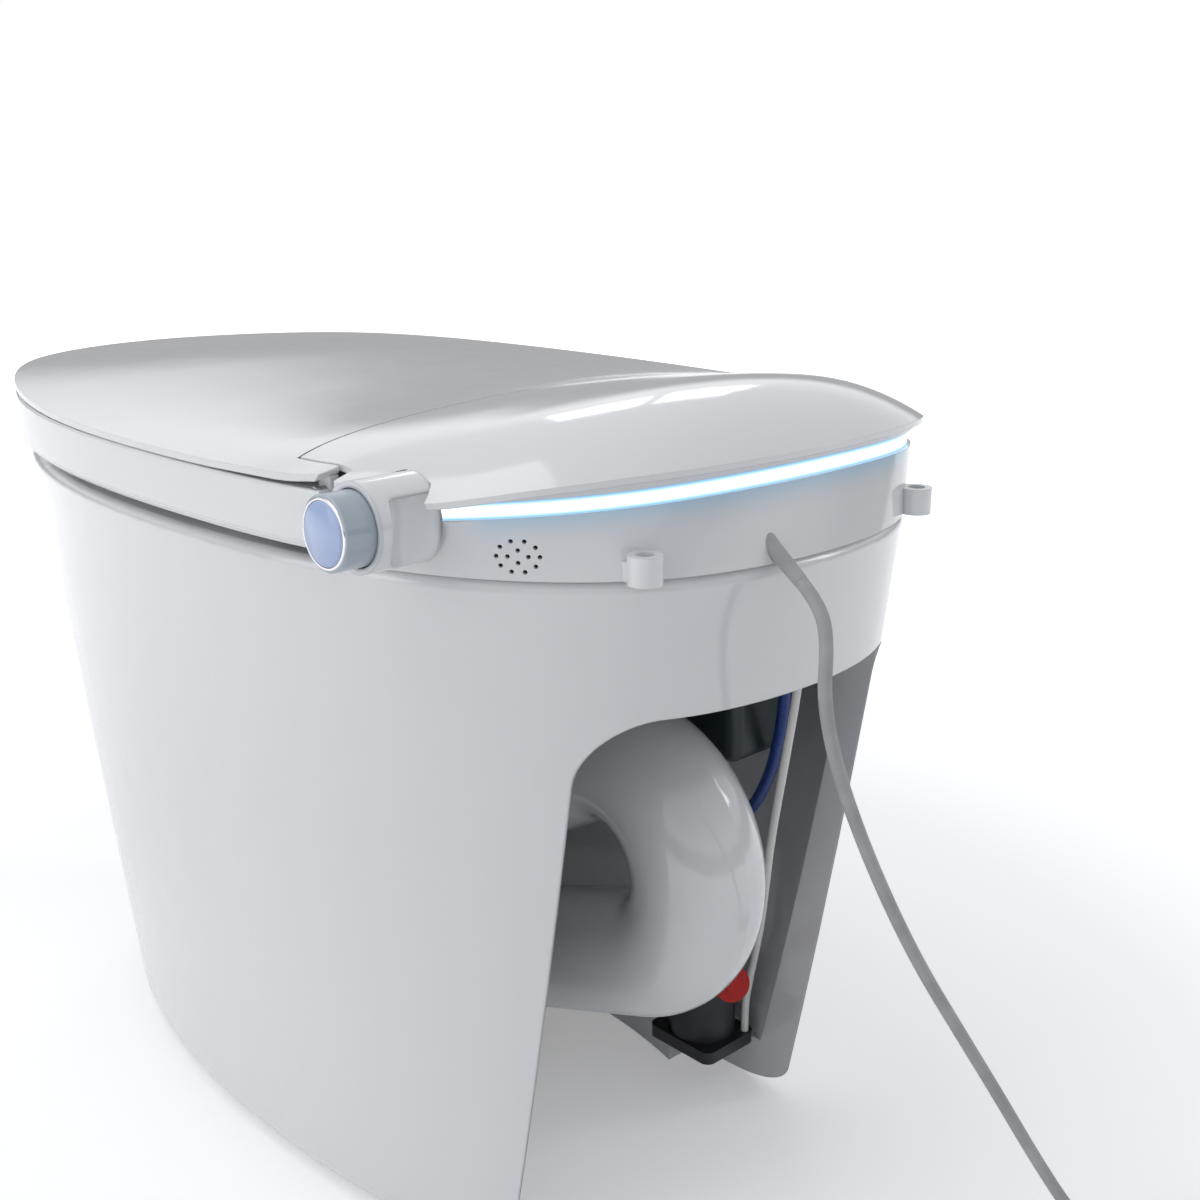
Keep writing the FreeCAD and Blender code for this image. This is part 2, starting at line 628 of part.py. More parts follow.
def top_cover():
    region = leaning_region(SEAM_GAP, HOUSING_FRONT + 14, 480.0)
    corners = both_sides(box(EAR_INNER_X - SEAM_GAP, 0, 380, 300, LID_SWING_Y, 480))
    cover = crown_slab(0.0, COVER_THICKNESS).common(column(seat_wire(380.0), 140)).common(region)
    lip = column(seat_wire(380.0, 4.5), 140).cut(column(seat_wire(379.0, 7.0), 142))
    behind = housing_region(SEAM_GAP + 1.0)
    front = behind.cut(housing_region(SEAM_GAP + 3.5)).common(box(-169, 0, 380, 169, 400, 500))
    skirt_parts = lip.common(behind).fuse(front).common(crown_slab(-1.0, 60))
    skirt_parts = skirt_parts.common(column(seat_wire(380.0, 4.5), 140))
    skirt_parts = skirt_parts.cut(led_plane_block(-80, 80 + LED_HEIGHT + 0.8, 0.0))
    cover = cover.fuse(skirt_parts).cut(corners)
    cover = cover.cut(box(WAND_WINDOW[0], 90, 380, WAND_WINDOW[2], 137, 432))
    for side in (-1, 1):
        cover = cover.cut(rod((side * 140, HINGE_Y, HINGE_Z), V(side, 0, 0), 3.3, 50))
    return cover.cut(rod((COLLAR_BACK_X - 0.3, KNOB_Y, KNOB_Z), X_AXIS, COLLAR_RADIUS + 0.3, 70))


def led_light_guide():
    outer = housing_block(2.0).cut(housing_block(8.0))
    strip = outer.common(led_plane_block(0.0, LED_HEIGHT, 100.0))
    strip = strip.cut(box(-300, 0, 380, 300, LED_START, 480))
    return strip.cut(rod((COLLAR_BACK_X - 0.3, KNOB_Y, KNOB_Z), X_AXIS, COLLAR_RADIUS + 0.6, 80))


def led_board():
    inner = housing_block(8.0).cut(housing_block(9.6))
    strip = inner.common(led_plane_block(0.0, LED_HEIGHT, 100.0))
    return strip.cut(box(-300, 0, 380, 300, LED_START + 3, 480))


# ---------------------------------------------------------------- knob
def knob_ring():
    """Turned outer ring with a stem into the encoder."""
    depth = KNOB_FACE_X - KNOB_BACK_X
    ring = rod((KNOB_BACK_X, KNOB_Y, KNOB_Z), X_AXIS, KNOB_RADIUS, depth)
    front = [edge for edge in ring.Edges if edge.BoundBox.XMin > KNOB_FACE_X - 0.1]
    ring = ring.makeFillet(1.2, front)
    ring = ring.cut(rod((KNOB_BACK_X + 4, KNOB_Y, KNOB_Z), X_AXIS, FACE_RADIUS + 1.4, depth))
    ring = ring.fuse(rod((STEM_END_X, KNOB_Y, KNOB_Z), X_AXIS, 5.0, KNOB_BACK_X - STEM_END_X + 1))
    return ring.cut(rod((STEM_END_X - 5, KNOB_Y, KNOB_Z), X_AXIS, 2.06, 60))


def knob_bezel():
    bezel = rod((KNOB_FACE_X - 4.2, KNOB_Y, KNOB_Z), X_AXIS, FACE_RADIUS + 1.4, 4.6)
    front = [edge for edge in bezel.Edges if edge.BoundBox.XMin > KNOB_FACE_X]
    bezel = bezel.makeFillet(0.5, front)
    return bezel.cut(rod((KNOB_FACE_X - 10, KNOB_Y, KNOB_Z), X_AXIS, FACE_RADIUS + 0.15, 20))


def knob_button():
    """Push button in the middle of the knob, on a rod through its stem."""
    cap = rod((KNOB_FACE_X - 8, KNOB_Y, KNOB_Z), X_AXIS, FACE_RADIUS, 8.8)
    front = [edge for edge in cap.Edges if edge.BoundBox.XMin > KNOB_FACE_X + 0.5]
    cap = cap.makeFillet(1.0, front)
    start = STEM_END_X + 0.5
    return cap.fuse(rod((start, KNOB_Y, KNOB_Z), X_AXIS, 2.0, KNOB_FACE_X - 5 - start))


def knob_encoder():
    back = ENCODER_BACK_X
    body = box(back, KNOB_Y - 9, KNOB_Z - 9, back + 13, KNOB_Y + 9, KNOB_Z + 9)
    unit = body.fuse(rod((back + 13, KNOB_Y, KNOB_Z), X_AXIS, 8, 5))
    unit = unit.cut(rod((STEM_END_X - 0.4, KNOB_Y, KNOB_Z), X_AXIS, 5.06, 30))
    return unit.cut(rod((STEM_END_X - 1.6, KNOB_Y, KNOB_Z), X_AXIS, 2.6, 30))


# ---------------------------------------------------------------- wash wands
def in_wand_frame(shape, x):
    """From the wand's own frame, tip at the origin and Y along it, to its place."""
    shape.rotate(V(0, 0, 0), X_AXIS, math.degrees(WAND_SLOPE))
    shape.translate(V(x, WAND_TIP_Y, WAND_TIP_Z))
    return shape


def wash_wand(x, hole_rows):
    """Round wand with spray holes at the tip and a rack cut into its underside."""
    wand = rod((0, 0, 0), Y_AXIS, WAND_RADIUS, WAND_LENGTH)
    tip = [edge for edge in wand.Edges if edge.BoundBox.YMax < 0.1]
    wand = wand.makeFillet(2.5, tip)
    holes = []
    for row in range(hole_rows):
        for side in (-1.6, 0.0, 1.6):
            holes.append(rod((side, 9 + 3.4 * row, 3), Z_AXIS, 0.6, 6))
    wand = wand.cut(Part.makeCompound(holes))
    last = int((WAND_LENGTH - 1 - PINION_AT) / TOOTH_PITCH)
    spaces = []
    for index in range(-1, last + 1):
        at = PINION_AT + index * TOOTH_PITCH
        corners = [(-7, at - 1.32, -6.8), (-7, at + 1.32, -6.8),
                   (-7, at + 0.5, -RACK_DEPTH + 1.25), (-7, at - 0.5, -RACK_DEPTH + 1.25)]
        spaces.append(prism(corners, V(14, 0, 0)))
    wand = wand.cut(Part.makeCompound(spaces))
    return in_wand_frame(wand, x)


def wand_pinion(x):
    """Pinion under the rack with straight-sided teeth, one of them upright in a rack space."""
    pitch_radius = PINION_TEETH / 2.0
    hub_z = -RACK_DEPTH - pitch_radius
    gear = rod((-4, PINION_AT, hub_z), X_AXIS, pitch_radius - 1.25, 8)
    teeth = []
    for index in range(PINION_TEETH):
        corners = [(-4, PINION_AT - 0.95, hub_z + 4.2), (-4, PINION_AT + 0.95, hub_z + 4.2),
                   (-4, PINION_AT + 0.36, hub_z + 6.8), (-4, PINION_AT - 0.36, hub_z + 6.8)]
        tooth = prism(corners, V(8, 0, 0))
        tooth.rotate(V(0, PINION_AT, hub_z), X_AXIS, 360.0 * index / PINION_TEETH)
        teeth.append(tooth)
    gear = gear.fuse(teeth)
    outward = V(math.copysign(1.0, x), 0, 0)
    gear = gear.fuse(rod((0, PINION_AT, hub_z), outward, 1.5, 12.0))
    return in_wand_frame(gear, x)


def wand_motor(x):
    """Flat geared stepper beside the wand, with a bore for the pinion's stub."""
    outward = V(math.copysign(1.0, x), 0, 0)
    hub_z = -RACK_DEPTH - PINION_TEETH / 2.0
    body = rod(tuple(10.5 * outward + V(0, PINION_AT + 5, hub_z + 5)), outward, MOTOR_RADIUS, 12)
    neck = rod(tuple(8.5 * outward + V(0, PINION_AT, hub_z)), outward, 4.0, 2.4)
    stub = rod(tuple(8.0 * outward + V(0, PINION_AT, hub_z)), outward, 1.56, 5)
    return in_wand_frame(body.fuse(neck).cut(stub), x)


def nozzle_housing():
    """Nose under the seat with two guide bores, the dryer's mouth and the motors' saddles."""
    rise = math.tan(WAND_SLOPE)
    x0, y0, x1, y1 = NOSE
    top = WAND_TIP_Z + WAND_RADIUS + 2.2
    corners = [(x0, y0 + 6, HOUSING_Z), (x0, y1, HOUSING_Z),
               (x0, y1, top + rise * (y1 - WAND_TIP_Y)), (x0, y0, top), (x0, y0, HOUSING_Z + 5)]
    nose = prism(corners, V(x1 - x0, 0, 0))
    plate = box(WAND_WINDOW[0], y1 - 5, HOUSING_Z, WAND_WINDOW[2], WAND_WINDOW[3], TRAY_Z)
    saddles = both_sides(box(27, 91, TRAY_Z - 0.5, 38, 110, 402))
    hub = V(0, PINION_AT + 5, 5 - RACK_DEPTH - PINION_TEETH / 2.0)
    saddles = saddles.cut(in_wand_frame(rod((-60, hub.y, hub.z), X_AXIS, MOTOR_RADIUS, 120), 0))
    nose = nose.fuse([plate, saddles])
    for x in (-WAND_X, WAND_X):
        bore = rod((0, -20, 0), Y_AXIS, WAND_RADIUS + WAND_CLEARANCE, 180)
        nose = nose.cut(in_wand_frame(bore, x))
    return nose.cut(box(DUCT_X[0], y0 - 5, TRAY_Z + 1.4, DUCT_X[1], y1 + 5, TRAY_Z + 11.4))


# ---------------------------------------------------------------- warm air dryer
def dryer_duct():
    """Square duct from the blower to the mouth in the nose."""
    def mouth(y, x0, x1, z0, z1):
        return Part.makePolygon([V(x0, y, z0), V(x1, y, z0), V(x1, y, z1), V(x0, y, z1),
                                 V(x0, y, z0)])
    low = TRAY_Z
    x0, x1 = DUCT_X
    front = NOSE[3]
    outer = Part.makeLoft([mouth(front, x0 - 1.4, x1 + 1.4, low, low + 12.8),
                           mouth(DUCT_BACK, 62, 92, low, low + 22)], True, True)
    inner = Part.makeLoft([mouth(front - 0.1, x0, x1, low + 1.4, low + 11.4),
                           mouth(DUCT_BACK + 0.1, 63.5, 90.5, low + 1.5, low + 20.5)], True, True)
    return outer.cut(inner)


def dryer_blower_case():
    """Round case with a wheel pin, an inlet in its roof and a square outlet."""
    x, y = BLOWER
    low = TRAY_Z
    case = rod((x, y, low), Z_AXIS, 27, 26).fuse(box(62, DUCT_BACK, low, 92, 192, low + 22))
    case = case.cut(rod((x, y, low + 2), Z_AXIS, 25, 22))
    case = case.cut(box(63.5, DUCT_BACK - 5, low + 1.5, 90.5, 195, low + 20.5))
    case = case.cut(rod((x, y, low + 20), Z_AXIS, 14, 10))
    return case.fuse(rod((x, y, low), Z_AXIS, 1.5, 16))


def dryer_impeller():
    """Blower wheel: hub, back plate and twelve blades."""
    x, y = BLOWER
    low = TRAY_Z + 2.8
    wheel = rod((x, y, low), Z_AXIS, 22, 1.6).fuse(rod((x, y, low), Z_AXIS, 5, 15))
    blades = []
    for index in range(12):
        blade = box(15, -0.6, low + 1, 21.5, 0.6, low + 16)
        blade.rotate(V(18, 0, 0), Z_AXIS, 35)
        blade.rotate(V(0, 0, 0), Z_AXIS, 30 * index)
        blade.translate(V(x, y, 0))
        blades.append(blade)
    wheel = wheel.fuse(blades)
    return wheel.cut(rod((x, y, low - 5), Z_AXIS, 1.56, 30))


def dryer_flap():
    """Flap over the dryer's mouth, hung from its top edge."""
    y = NOSE[1] - 0.6
    top = TRAY_Z + 12.2
    plate = box(DUCT_X[0] - 1, y - 1.4, TRAY_Z + 1.0, DUCT_X[1] + 1, y, top)
    return plate.fuse(rod((DUCT_X[0] - 1, y - 0.7, top), X_AXIS, 0.7, DUCT_X[1] - DUCT_X[0] + 2))


# ---------------------------------------------------------------- inside the housing
def speaker():
    """Small loudspeaker behind the grille: basket and magnet."""
    out = V(*SPEAKER_OUT)
    back = V(*SPEAKER_AT) - 9.0 * out
    basket = rod(tuple(back), out, 11.0, 20.0).common(housing_block(HOUSING_WALL))
    basket = basket.cut(box(100, 200, 380, 180, 280, TRAY_Z))
    return basket.fuse(rod(tuple(back - 6.0 * out), out, 6.0, 6.5))


def water_heater():
    """Flow heater with two hose stubs."""
    block = box(-60, 214, TRAY_Z, 20, 262, TRAY_Z + 28)
    edges = [edge for edge in block.Edges
             if edge.BoundBox.XLength > 70 and edge.BoundBox.ZMin > TRAY_Z + 1]
    block = block.makeFillet(5, edges)
    stubs = [rod((-60, y, TRAY_Z + 14), -X_AXIS, 4, 10) for y in (226, 246)]
    return block.fuse(stubs)


def solenoid_valve():
    body = box(-114, 206, TRAY_Z, -78, 228, TRAY_Z + 16)
    coil = rod((-104, 217, TRAY_Z + 16), Z_AXIS, 9, 14)
    return body.fuse([coil, rod((-86, 206, TRAY_Z + 8), -Y_AXIS, 4, 9)])


def control_board():
    """Circuit board on four posts, with its larger parts."""
    board = box(-62, 176, BOARD_Z, 40, 208, BOARD_Z + 1.6)
    parts = [box(x, y, BOARD_Z + 1.6, x + w, y + d, BOARD_Z + 1.6 + h)
             for x, y, w, d, h in ((-54, 181, 16, 16, 3), (-28, 183, 10, 18, 6),
                                   (-8, 180, 22, 8, 8), (20, 184, 14, 14, 5))]
    posts = [box(x, y, TRAY_Z, x + 5, y + 5, BOARD_Z)
             for x in (-60, 33) for y in (178, 201)]
    return board.fuse(parts + posts)


def power_supply():
    case = box(-148, 170, TRAY_Z, -104, 204, TRAY_Z + 18)
    edges = [edge for edge in case.Edges if edge.BoundBox.ZLength > 10]
    return case.makeFillet(3, edges)


def deck_gasket():
    """Rubber gasket between the housing and the pan, round the hose hole."""
    x0, y0, x1, y1 = DECK_HOLE
    y0 += 32
    outer = box(x0 - 9, y0 - 7, RIM_Z, x1 + 9, y1 + 9, HOUSING_Z)
    return outer.cut(box(x0 - 2, y0, RIM_Z - 1, x1 + 2, y1 + 2, RIM_Z + 2))


# ---------------------------------------------------------------- inside the pan
def flush_pump():
    """Flushing pump on the pan's foot flange, with a capped drain."""
    x, y = PUMP
    foot = box(x - 22, y - 26, FOOT_HEIGHT, x + 22, y + 26, FOOT_HEIGHT + 8)
    edges = [edge for edge in foot.Edges if edge.BoundBox.ZLength > 5]
    foot = foot.makeFillet(6, edges)
    body = rod((x, y, FOOT_HEIGHT + 8), Z_AXIS, 21, 66)
    cap = rod((x, y, FOOT_HEIGHT + 74), Z_AXIS, 17, 12)
    spout = rod((x, y, FOOT_HEIGHT + 80), Z_AXIS, 5, PUMP_TOP - FOOT_HEIGHT - 80)
    drain = rod((x, y, DRAIN_Z), V(*DRAIN_OUT), 9, DRAIN_LENGTH)
    return foot.fuse([body, cap, spout, drain])


def pump_cap():
    out = V(*DRAIN_OUT).normalize()
    start = V(PUMP[0], PUMP[1], DRAIN_Z) + DRAIN_LENGTH * out
    return rod(tuple(start), out, 11, 9).fuse(rod(tuple(start), out, 5, 12))


def reservoir():
    """Water tank that hangs from the housing through the deck."""
    tank = box(-102, 146, 240, -48, 202, HOUSING_Z)
    edges = [edge for edge in tank.Edges if edge.BoundBox.ZMin < 380]
    return tank.makeFillet(8, edges)


def inlet_fitting():
    """Water inlet that hangs from the housing, with a half-inch thread below."""
    x, y = INLET
    body = rod((x, y, INLET_BODY_Z), Z_AXIS, 13, 30)
    neck = rod((x, y, INLET_BODY_Z + 20), Z_AXIS, 9, HOUSING_Z - INLET_BODY_Z - 20)
    flange = rod((x, y, HOUSING_Z - 4), Z_AXIS, 15, 4)
    thread = rod((x, y, INLET_BODY_Z - INLET_THREAD), Z_AXIS, 10.48, INLET_THREAD + 1)
    return body.fuse([neck, flange, thread])


def smooth_route(points):
    """Straight runs joined by tangent arcs, each as large as its two runs allow."""
    stops = [V(*point) for point in points]
    edges = []
    radii = []
    last = stops[0]
    for before, corner, after in zip(stops, stops[1:], stops[2:]):
        into = corner - before
        out = after - corner
        reach = 0.45 * min(into.Length, out.Length)
        into.normalize()
        out.normalize()
        radii.append(round(reach / math.tan(into.getAngle(out) / 2.0), 1))
        edges.append(Part.LineSegment(last, corner - reach * into).toShape())
        edges.append(corner_arc(corner - reach * into, corner, corner + reach * out))
        last = corner + reach * out
    edges.append(Part.LineSegment(last, stops[-1]).toShape())
    print("bend radii", radii)
    return edges


def blue_hose():
    """From the housing down to the pump's spout."""
    x, y = PUMP
    route = ((-70, 221, TRAY_Z), (-70, 221, 340), (-71, 219.5, 298), (-74, 214, 260),
             (-79, 203, 228), (-85, 187, 202), (x, 168, 181), (x, y + 4, 163), (x, y, 146),
             (x, y, PUMP_TOP))
    return tube_on(smooth_route(route), BLUE_HOSE_RADIUS)


def white_hose():
    """From the housing down to the foot of the pump."""
    route = ((-66, 236, TRAY_Z), (-66, 236, 340), (-63.5, 233, 290), (-62, 226, 240),
             (-67, 215, 195), (-79, 202, 155), (-92, 188, 118), (-101, 175, 84), (-104, 168, 57),
             (-104, 168, FOOT_HEIGHT + 8))
    return tube_on(smooth_route(route), WHITE_HOSE_RADIUS)


# ---------------------------------------------------------------- power cord
def gland_direction():
    return (V(*CORD_EXIT) - V(*GLAND_BACK)).normalize()


def cord_gland():
    """Tapered strain relief: a grip inside the wall and a flexible tail outside."""
    start = V(*GLAND_BACK)
    out = gland_direction()
    length = (V(*CORD_EXIT) - start).Length
    tail = Part.makeCone(CORD_RADIUS + 0.7, CORD_RADIUS + 0.15, length, start, out)
    grip = Part.makeCylinder(CORD_RADIUS + 0.7, 6, start - 6 * out, out)
    return tail.fuse(grip)


def power_cord():
    edges = smooth_route(CORD_ROUTE)
    tube = tube_on(edges, CORD_RADIUS)
    report_tube("cord", edges, tube)
    return tube


def report_tube(name, edges, tube):
    length = sum(edge.Length for edge in edges)
    section = math.pi * CORD_RADIUS ** 2
    print(name, "length", round(length, 1), "volume ratio", round(tube.Volume / section / length, 4))


def coil_place(turn):
    """Point and direction on the coil: in along the floor, up a layer, out again on top."""
    centre = V(*CORD_ROUTE[-1]) + V(-COIL_RADIUS, 2.0 * CORD_RADIUS, 0)
    middle = COIL_TURNS / 2.0
    radius = COIL_RADIUS - COIL_STEP * (middle - abs(turn - middle))
    climb = min(max((turn - middle) / COIL_CLIMB + 0.5, 0.0), 1.0)
    angle = 2.0 * math.pi * turn
    outward = V(math.cos(angle), math.sin(angle), 0)
    point = centre + radius * outward + COIL_STEP * climb * Z_AXIS
    direction = V(-outward.y, outward.x, 0)
    if abs(turn - middle) < 0.01:
        direction += 1.5 * COIL_STEP / (2.0 * math.pi * radius * COIL_CLIMB) * Z_AXIS
    return point, direction.normalize()


def coil_edges():
    """Two arcs for each quarter turn, with a straight end before and after."""
    edges = []
    steps = int(COIL_TURNS * 4)
    places = [coil_place(index / 4.0) for index in range(steps + 1)]
    for (start, ahead), (end, onward) in zip(places, places[1:]):
        span = end - start
        both = ahead + onward
        spread = 2.0 * (1.0 - ahead.dot(onward))
        along = span.dot(both)
        reach = (math.sqrt(along ** 2 + spread * span.dot(span)) - along) / spread
        join = 0.5 * (start + end + reach * (ahead - onward))
        edges.append(corner_arc(start, start + reach * ahead, join))
        edges.append(corner_arc(join, end - reach * onward, end))
    first = places[0][0]
    last = places[-1][0]
    lead_in = Part.LineSegment(first - 2.0 * CORD_RADIUS * Y_AXIS, first).toShape()
    lead_out = Part.LineSegment(last, last + COIL_LEAD_OUT * Y_AXIS).toShape()
    return [lead_in] + edges + [lead_out]


def cord_coil():
    edges = coil_edges()
    tube = tube_on(edges, CORD_RADIUS)
    report_tube("coil", edges, tube)
    points = [point for edge in edges for point in edge.discretize(14)[:-1]]
    apart = 3 * 14
    gap = min(a.distanceToPoint(b) for index, a in enumerate(points)
              for b in points[index + apart:]) - 2.0 * CORD_RADIUS
    print("coil least gap to itself", round(gap, 2))
    return tube


def plug_section(y, half_width, half_height, power):
    """Superellipse across the plug, in a plane square to Y."""
    points = []
    for index in range(16):
        angle = 2.0 * math.pi * (index + 0.5) / 16
        points.append(V(half_width * signed_power(math.cos(angle), power), y,
                        half_height * signed_power(math.sin(angle), power)))
    curve = Part.BSplineCurve()
    curve.interpolate(Points=points, PeriodicFlag=True)
    return Part.Wire([curve.toShape()])


def mains_plug():
    """Moulded three-pin plug lying on its side, with its own strain relief."""
    height = CORD_ROUTE[-1][2] + COIL_STEP
    rear = CORD_RADIUS + 0.9
    relief = Part.makeLoft([plug_section(0, rear, rear, 1.0),
                            plug_section(24, rear + 1.6, rear + 1.6, 1.0)], True, True)
    grip = Part.makeLoft([plug_section(24, 7.6, 7.6, 0.8), plug_section(34, 11.5, 9.2, 0.6),
                          plug_section(52, 11.0, 8.8, 0.6)], True, False)
    face = Part.makeLoft([plug_section(52, 13.0, height - 0.05, 0.55),
                          plug_section(PLUG_LENGTH, 13.0, height - 0.05, 0.55)], True, True)
    pins = [box(-7.2, PLUG_LENGTH, z - 0.75, -0.85, PLUG_LENGTH + 17, z + 0.75)
            for z in (-6.35, 6.35)]
    pins.append(rod((7.9, PLUG_LENGTH, 0), Y_AXIS, 2.4, 20))
    plug = relief.fuse([grip, face] + pins)
    end = coil_place(COIL_TURNS)[0] + COIL_LEAD_OUT * Y_AXIS
    plug.translate(end)
    return plug


NODES = {
    "ceramic_pan": ceramic_pan,
    "outlet_seal": outlet_seal,
    "lid_panel": lid_panel,
    "lid_bumpers": lid_bumpers,
    "lid_drive_shaft": lid_drive_shaft,
    "seat_shell": seat_shell,
    "seat_base": seat_base,
    "seat_heater": seat_heater,
    "seat_bumpers": seat_bumpers,
    "seat_drive_shaft": seat_drive_shaft,
    "lid_damper": lambda: damper(1),
    "seat_damper": lambda: damper(-1),
    "housing_base": housing_base,
    "top_cover": top_cover,
    "led_light_guide": led_light_guide,
    "led_board": led_board,
    "knob_ring": knob_ring,
    "knob_bezel": knob_bezel,
    "knob_button": knob_button,
    "knob_encoder": knob_encoder,
    "rear_wash_wand": lambda: wash_wand(WAND_X, 1),
    "front_wash_wand": lambda: wash_wand(-WAND_X, 2),
    "rear_wand_pinion": lambda: wand_pinion(WAND_X),
    "front_wand_pinion": lambda: wand_pinion(-WAND_X),
    "rear_wand_motor": lambda: wand_motor(WAND_X),
    "front_wand_motor": lambda: wand_motor(-WAND_X),
    "nozzle_housing": nozzle_housing,
    "dryer_duct": dryer_duct,
    "dryer_blower_case": dryer_blower_case,
    "dryer_impeller": dryer_impeller,
    "dryer_flap": dryer_flap,
    "speaker": speaker,
    "water_heater": water_heater,
    "solenoid_valve": solenoid_valve,
    "control_board": control_board,
    "power_supply": power_supply,
    "deck_gasket": deck_gasket,
    "flush_pump": flush_pump,
    "pump_cap": pump_cap,
    "reservoir": reservoir,
    "inlet_fitting": inlet_fitting,
    "blue_hose": blue_hose,
    "white_hose": white_hose,
    "cord_gland": cord_gland,
    "power_cord": power_cord,
    "cord_coil": cord_coil,
    "mains_plug": mains_plug,
}


def main():
    os.makedirs("parts", exist_ok=True)
    for name, build in NODES.items():
        shape = build()
        print(name, len(shape.Solids), "solids", round(shape.Volume), "mm3", shape.isValid())
        shape.exportStep("parts/" + name + ".step")


main()
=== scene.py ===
"""Looks of a floor-standing smart toilet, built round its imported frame.

Sizes are in metres in the frame's own axes: +Z up, -Y the front of the bowl, +X the side of the
knob. The route and the coil of the cord are in millimetres.
"""
import math

import bmesh
import bpy
from mathutils import Matrix, Vector


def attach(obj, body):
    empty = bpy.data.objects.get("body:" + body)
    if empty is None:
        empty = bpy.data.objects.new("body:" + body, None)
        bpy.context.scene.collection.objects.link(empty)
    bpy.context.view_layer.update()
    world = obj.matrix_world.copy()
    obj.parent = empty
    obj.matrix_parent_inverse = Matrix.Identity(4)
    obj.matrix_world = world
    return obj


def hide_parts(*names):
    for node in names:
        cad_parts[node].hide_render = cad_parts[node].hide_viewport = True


bl_info = {
    "name": "Smart toilet looks",
    "version": (1, 0, 0),
    "blender": (4, 5, 0),
    "location": "View3D > Sidebar > Smart toilet",
    "description": "Builds the materials, pieces, cord, lights and camera of the smart toilet",
    "category": "Object",
}

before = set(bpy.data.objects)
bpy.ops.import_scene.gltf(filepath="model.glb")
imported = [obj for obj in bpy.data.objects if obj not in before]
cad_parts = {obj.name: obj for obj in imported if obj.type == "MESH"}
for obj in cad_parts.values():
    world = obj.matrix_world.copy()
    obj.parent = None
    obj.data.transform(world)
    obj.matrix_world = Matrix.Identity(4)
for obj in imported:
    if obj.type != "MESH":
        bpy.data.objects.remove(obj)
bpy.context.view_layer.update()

MM = 0.001

# Photograph's view
CAMERA_AT = (0.55599, 0.73417, 0.57549)
CAMERA_AZIMUTH = math.radians(136.638)
CAMERA_ELEVATION = math.radians(16.538)
FOCAL_OVER_WIDTH = 1558.51 / 1200.0
SENSOR = 36.0

# Power cord: listed route, then the coil's turns from a formula
CORD_RADIUS = 3.25 * MM
CORD_ROUTE = (
    (30.0, 308.0, 385.0), (30.0, 320.4, 375.7), (35.0, 328.5, 360.5), (39.5, 331.0, 339.0),
    (33.0, 333.0, 309.0), (18.0, 336.0, 272.0), (-1.0, 341.0, 231.0), (-23.0, 348.0, 188.0),
    (-46.0, 358.0, 147.0), (-67.0, 370.0, 107.0), (-87.0, 383.0, 66.0), (-104.0, 398.0, 30.0),
    (-119.0, 418.0, 7.0), (-129.0, 444.0, 3.3), (-129.0, 464.0, 3.3),
)
COIL_RADIUS = 43.0
COIL_STEP = 7.1
COIL_TURNS = 5.0
COIL_CLIMB = 0.5
COIL_POINTS = 16
COIL_LEAD_OUT = 25.0

# Light strip, which climbs with Y: its middle line's height at Y = 0, and how far from that
# line it is still white and already blue
STRIP_CLIMB = 0.105
STRIP_HEIGHT = 7.0 * MM
STRIP_MIDDLE = 417.5 * MM - 185.0 * MM * STRIP_CLIMB
STRIP_WHITE = 0.12 * STRIP_HEIGHT
STRIP_BLUE = 0.46 * STRIP_HEIGHT

# Painted light from the strip, and painted shade under it, on the outside of the housing's wall
SPILL_REACH = 15.0 * MM
SPILL_TINT = "#8ccdf2"
SPILL_SHADE = "#b4c9da"
SPILL_STRENGTH = 0.10
SPILL_POWER = 2.0
HOUSING_MIDDLE = (0.0, 0.11, 0.0)
FACING_OUT = (0.02, 0.05)

# Knob and the collar that carries it
KNOB_FACE = (0.2058, 0.194, 0.416)
FILM_RADIUS = 13.6 * MM
FILM_GAP = 0.02 * MM
FILM_CHAMFER = 0.1 * MM
FILM_STEPS = 72
FILM_SHARP_ANGLE = math.radians(38.0)
COLLAR_AT = (0.184, 0.204, 0.418)
COLLAR_REACH = 42.0 * MM
COLLAR_INNER = 0.7 * COLLAR_REACH
COLLAR_OUTER = 1.1 * COLLAR_REACH
COLLAR_EDGE = 3.0 * MM

# Surfaces: where a random pattern is low and high, how finely soft edges are worked out
PATTERN_SPAN = (0.3, 0.7)
EDGE_SAMPLES = 4
COLLAR_EDGE_SAMPLES = 8

# Gloss that the lid, the seat, the cover and the housing share
SHELL_FINISH = {"rough": 0.12, "grain_size": 28.6 * MM, "grain": 0.05, "coat": 0.5,
                "edge": 0.6 * MM}

# Studio floor: (distance from the object, how far the floor is lifted to white there)
FLOOR_REACH = 6.0
FLOOR_Z = -0.5 * MM
FLOOR_NEAR = (0.5, 0.28)
FLOOR_FAR = (1.6, 1.0)
FLOOR_IN_GLAZE = 0.65

# Room as the matt surfaces are lit by it, and as the glossy ones reflect it:
# (sine of the height angle, brightness)
ROOM_ON_MATT = 0.55
ROOM_IN_GLAZE = ((0.0, 0.35), (0.13, 0.24), (0.23, 1.05), (0.45, 0.75), (1.0, 0.6))
ROOM_BRIGHTEST = 1.05

# Softboxes: name, place, target, size, power in watts, tint
SOFTBOXES = (
    ("overhead_softbox", (0.6, -0.3, 2.1), (0.0, 0.0, 0.35), (1.8, 1.4), 11.5, (1.0, 0.99, 0.98)),
    ("side_softbox", (2.1, -0.6, 1.0), (0.0, -0.05, 0.2), (1.4, 1.4), 9.8, (1.0, 1.0, 1.0)),
    ("rear_strip_softbox", (-1.7, 1.3, 1.5), (0.0, 0.15, 0.25), (0.34, 0.9), 4.6, (1.0, 1.0, 1.0)),
)

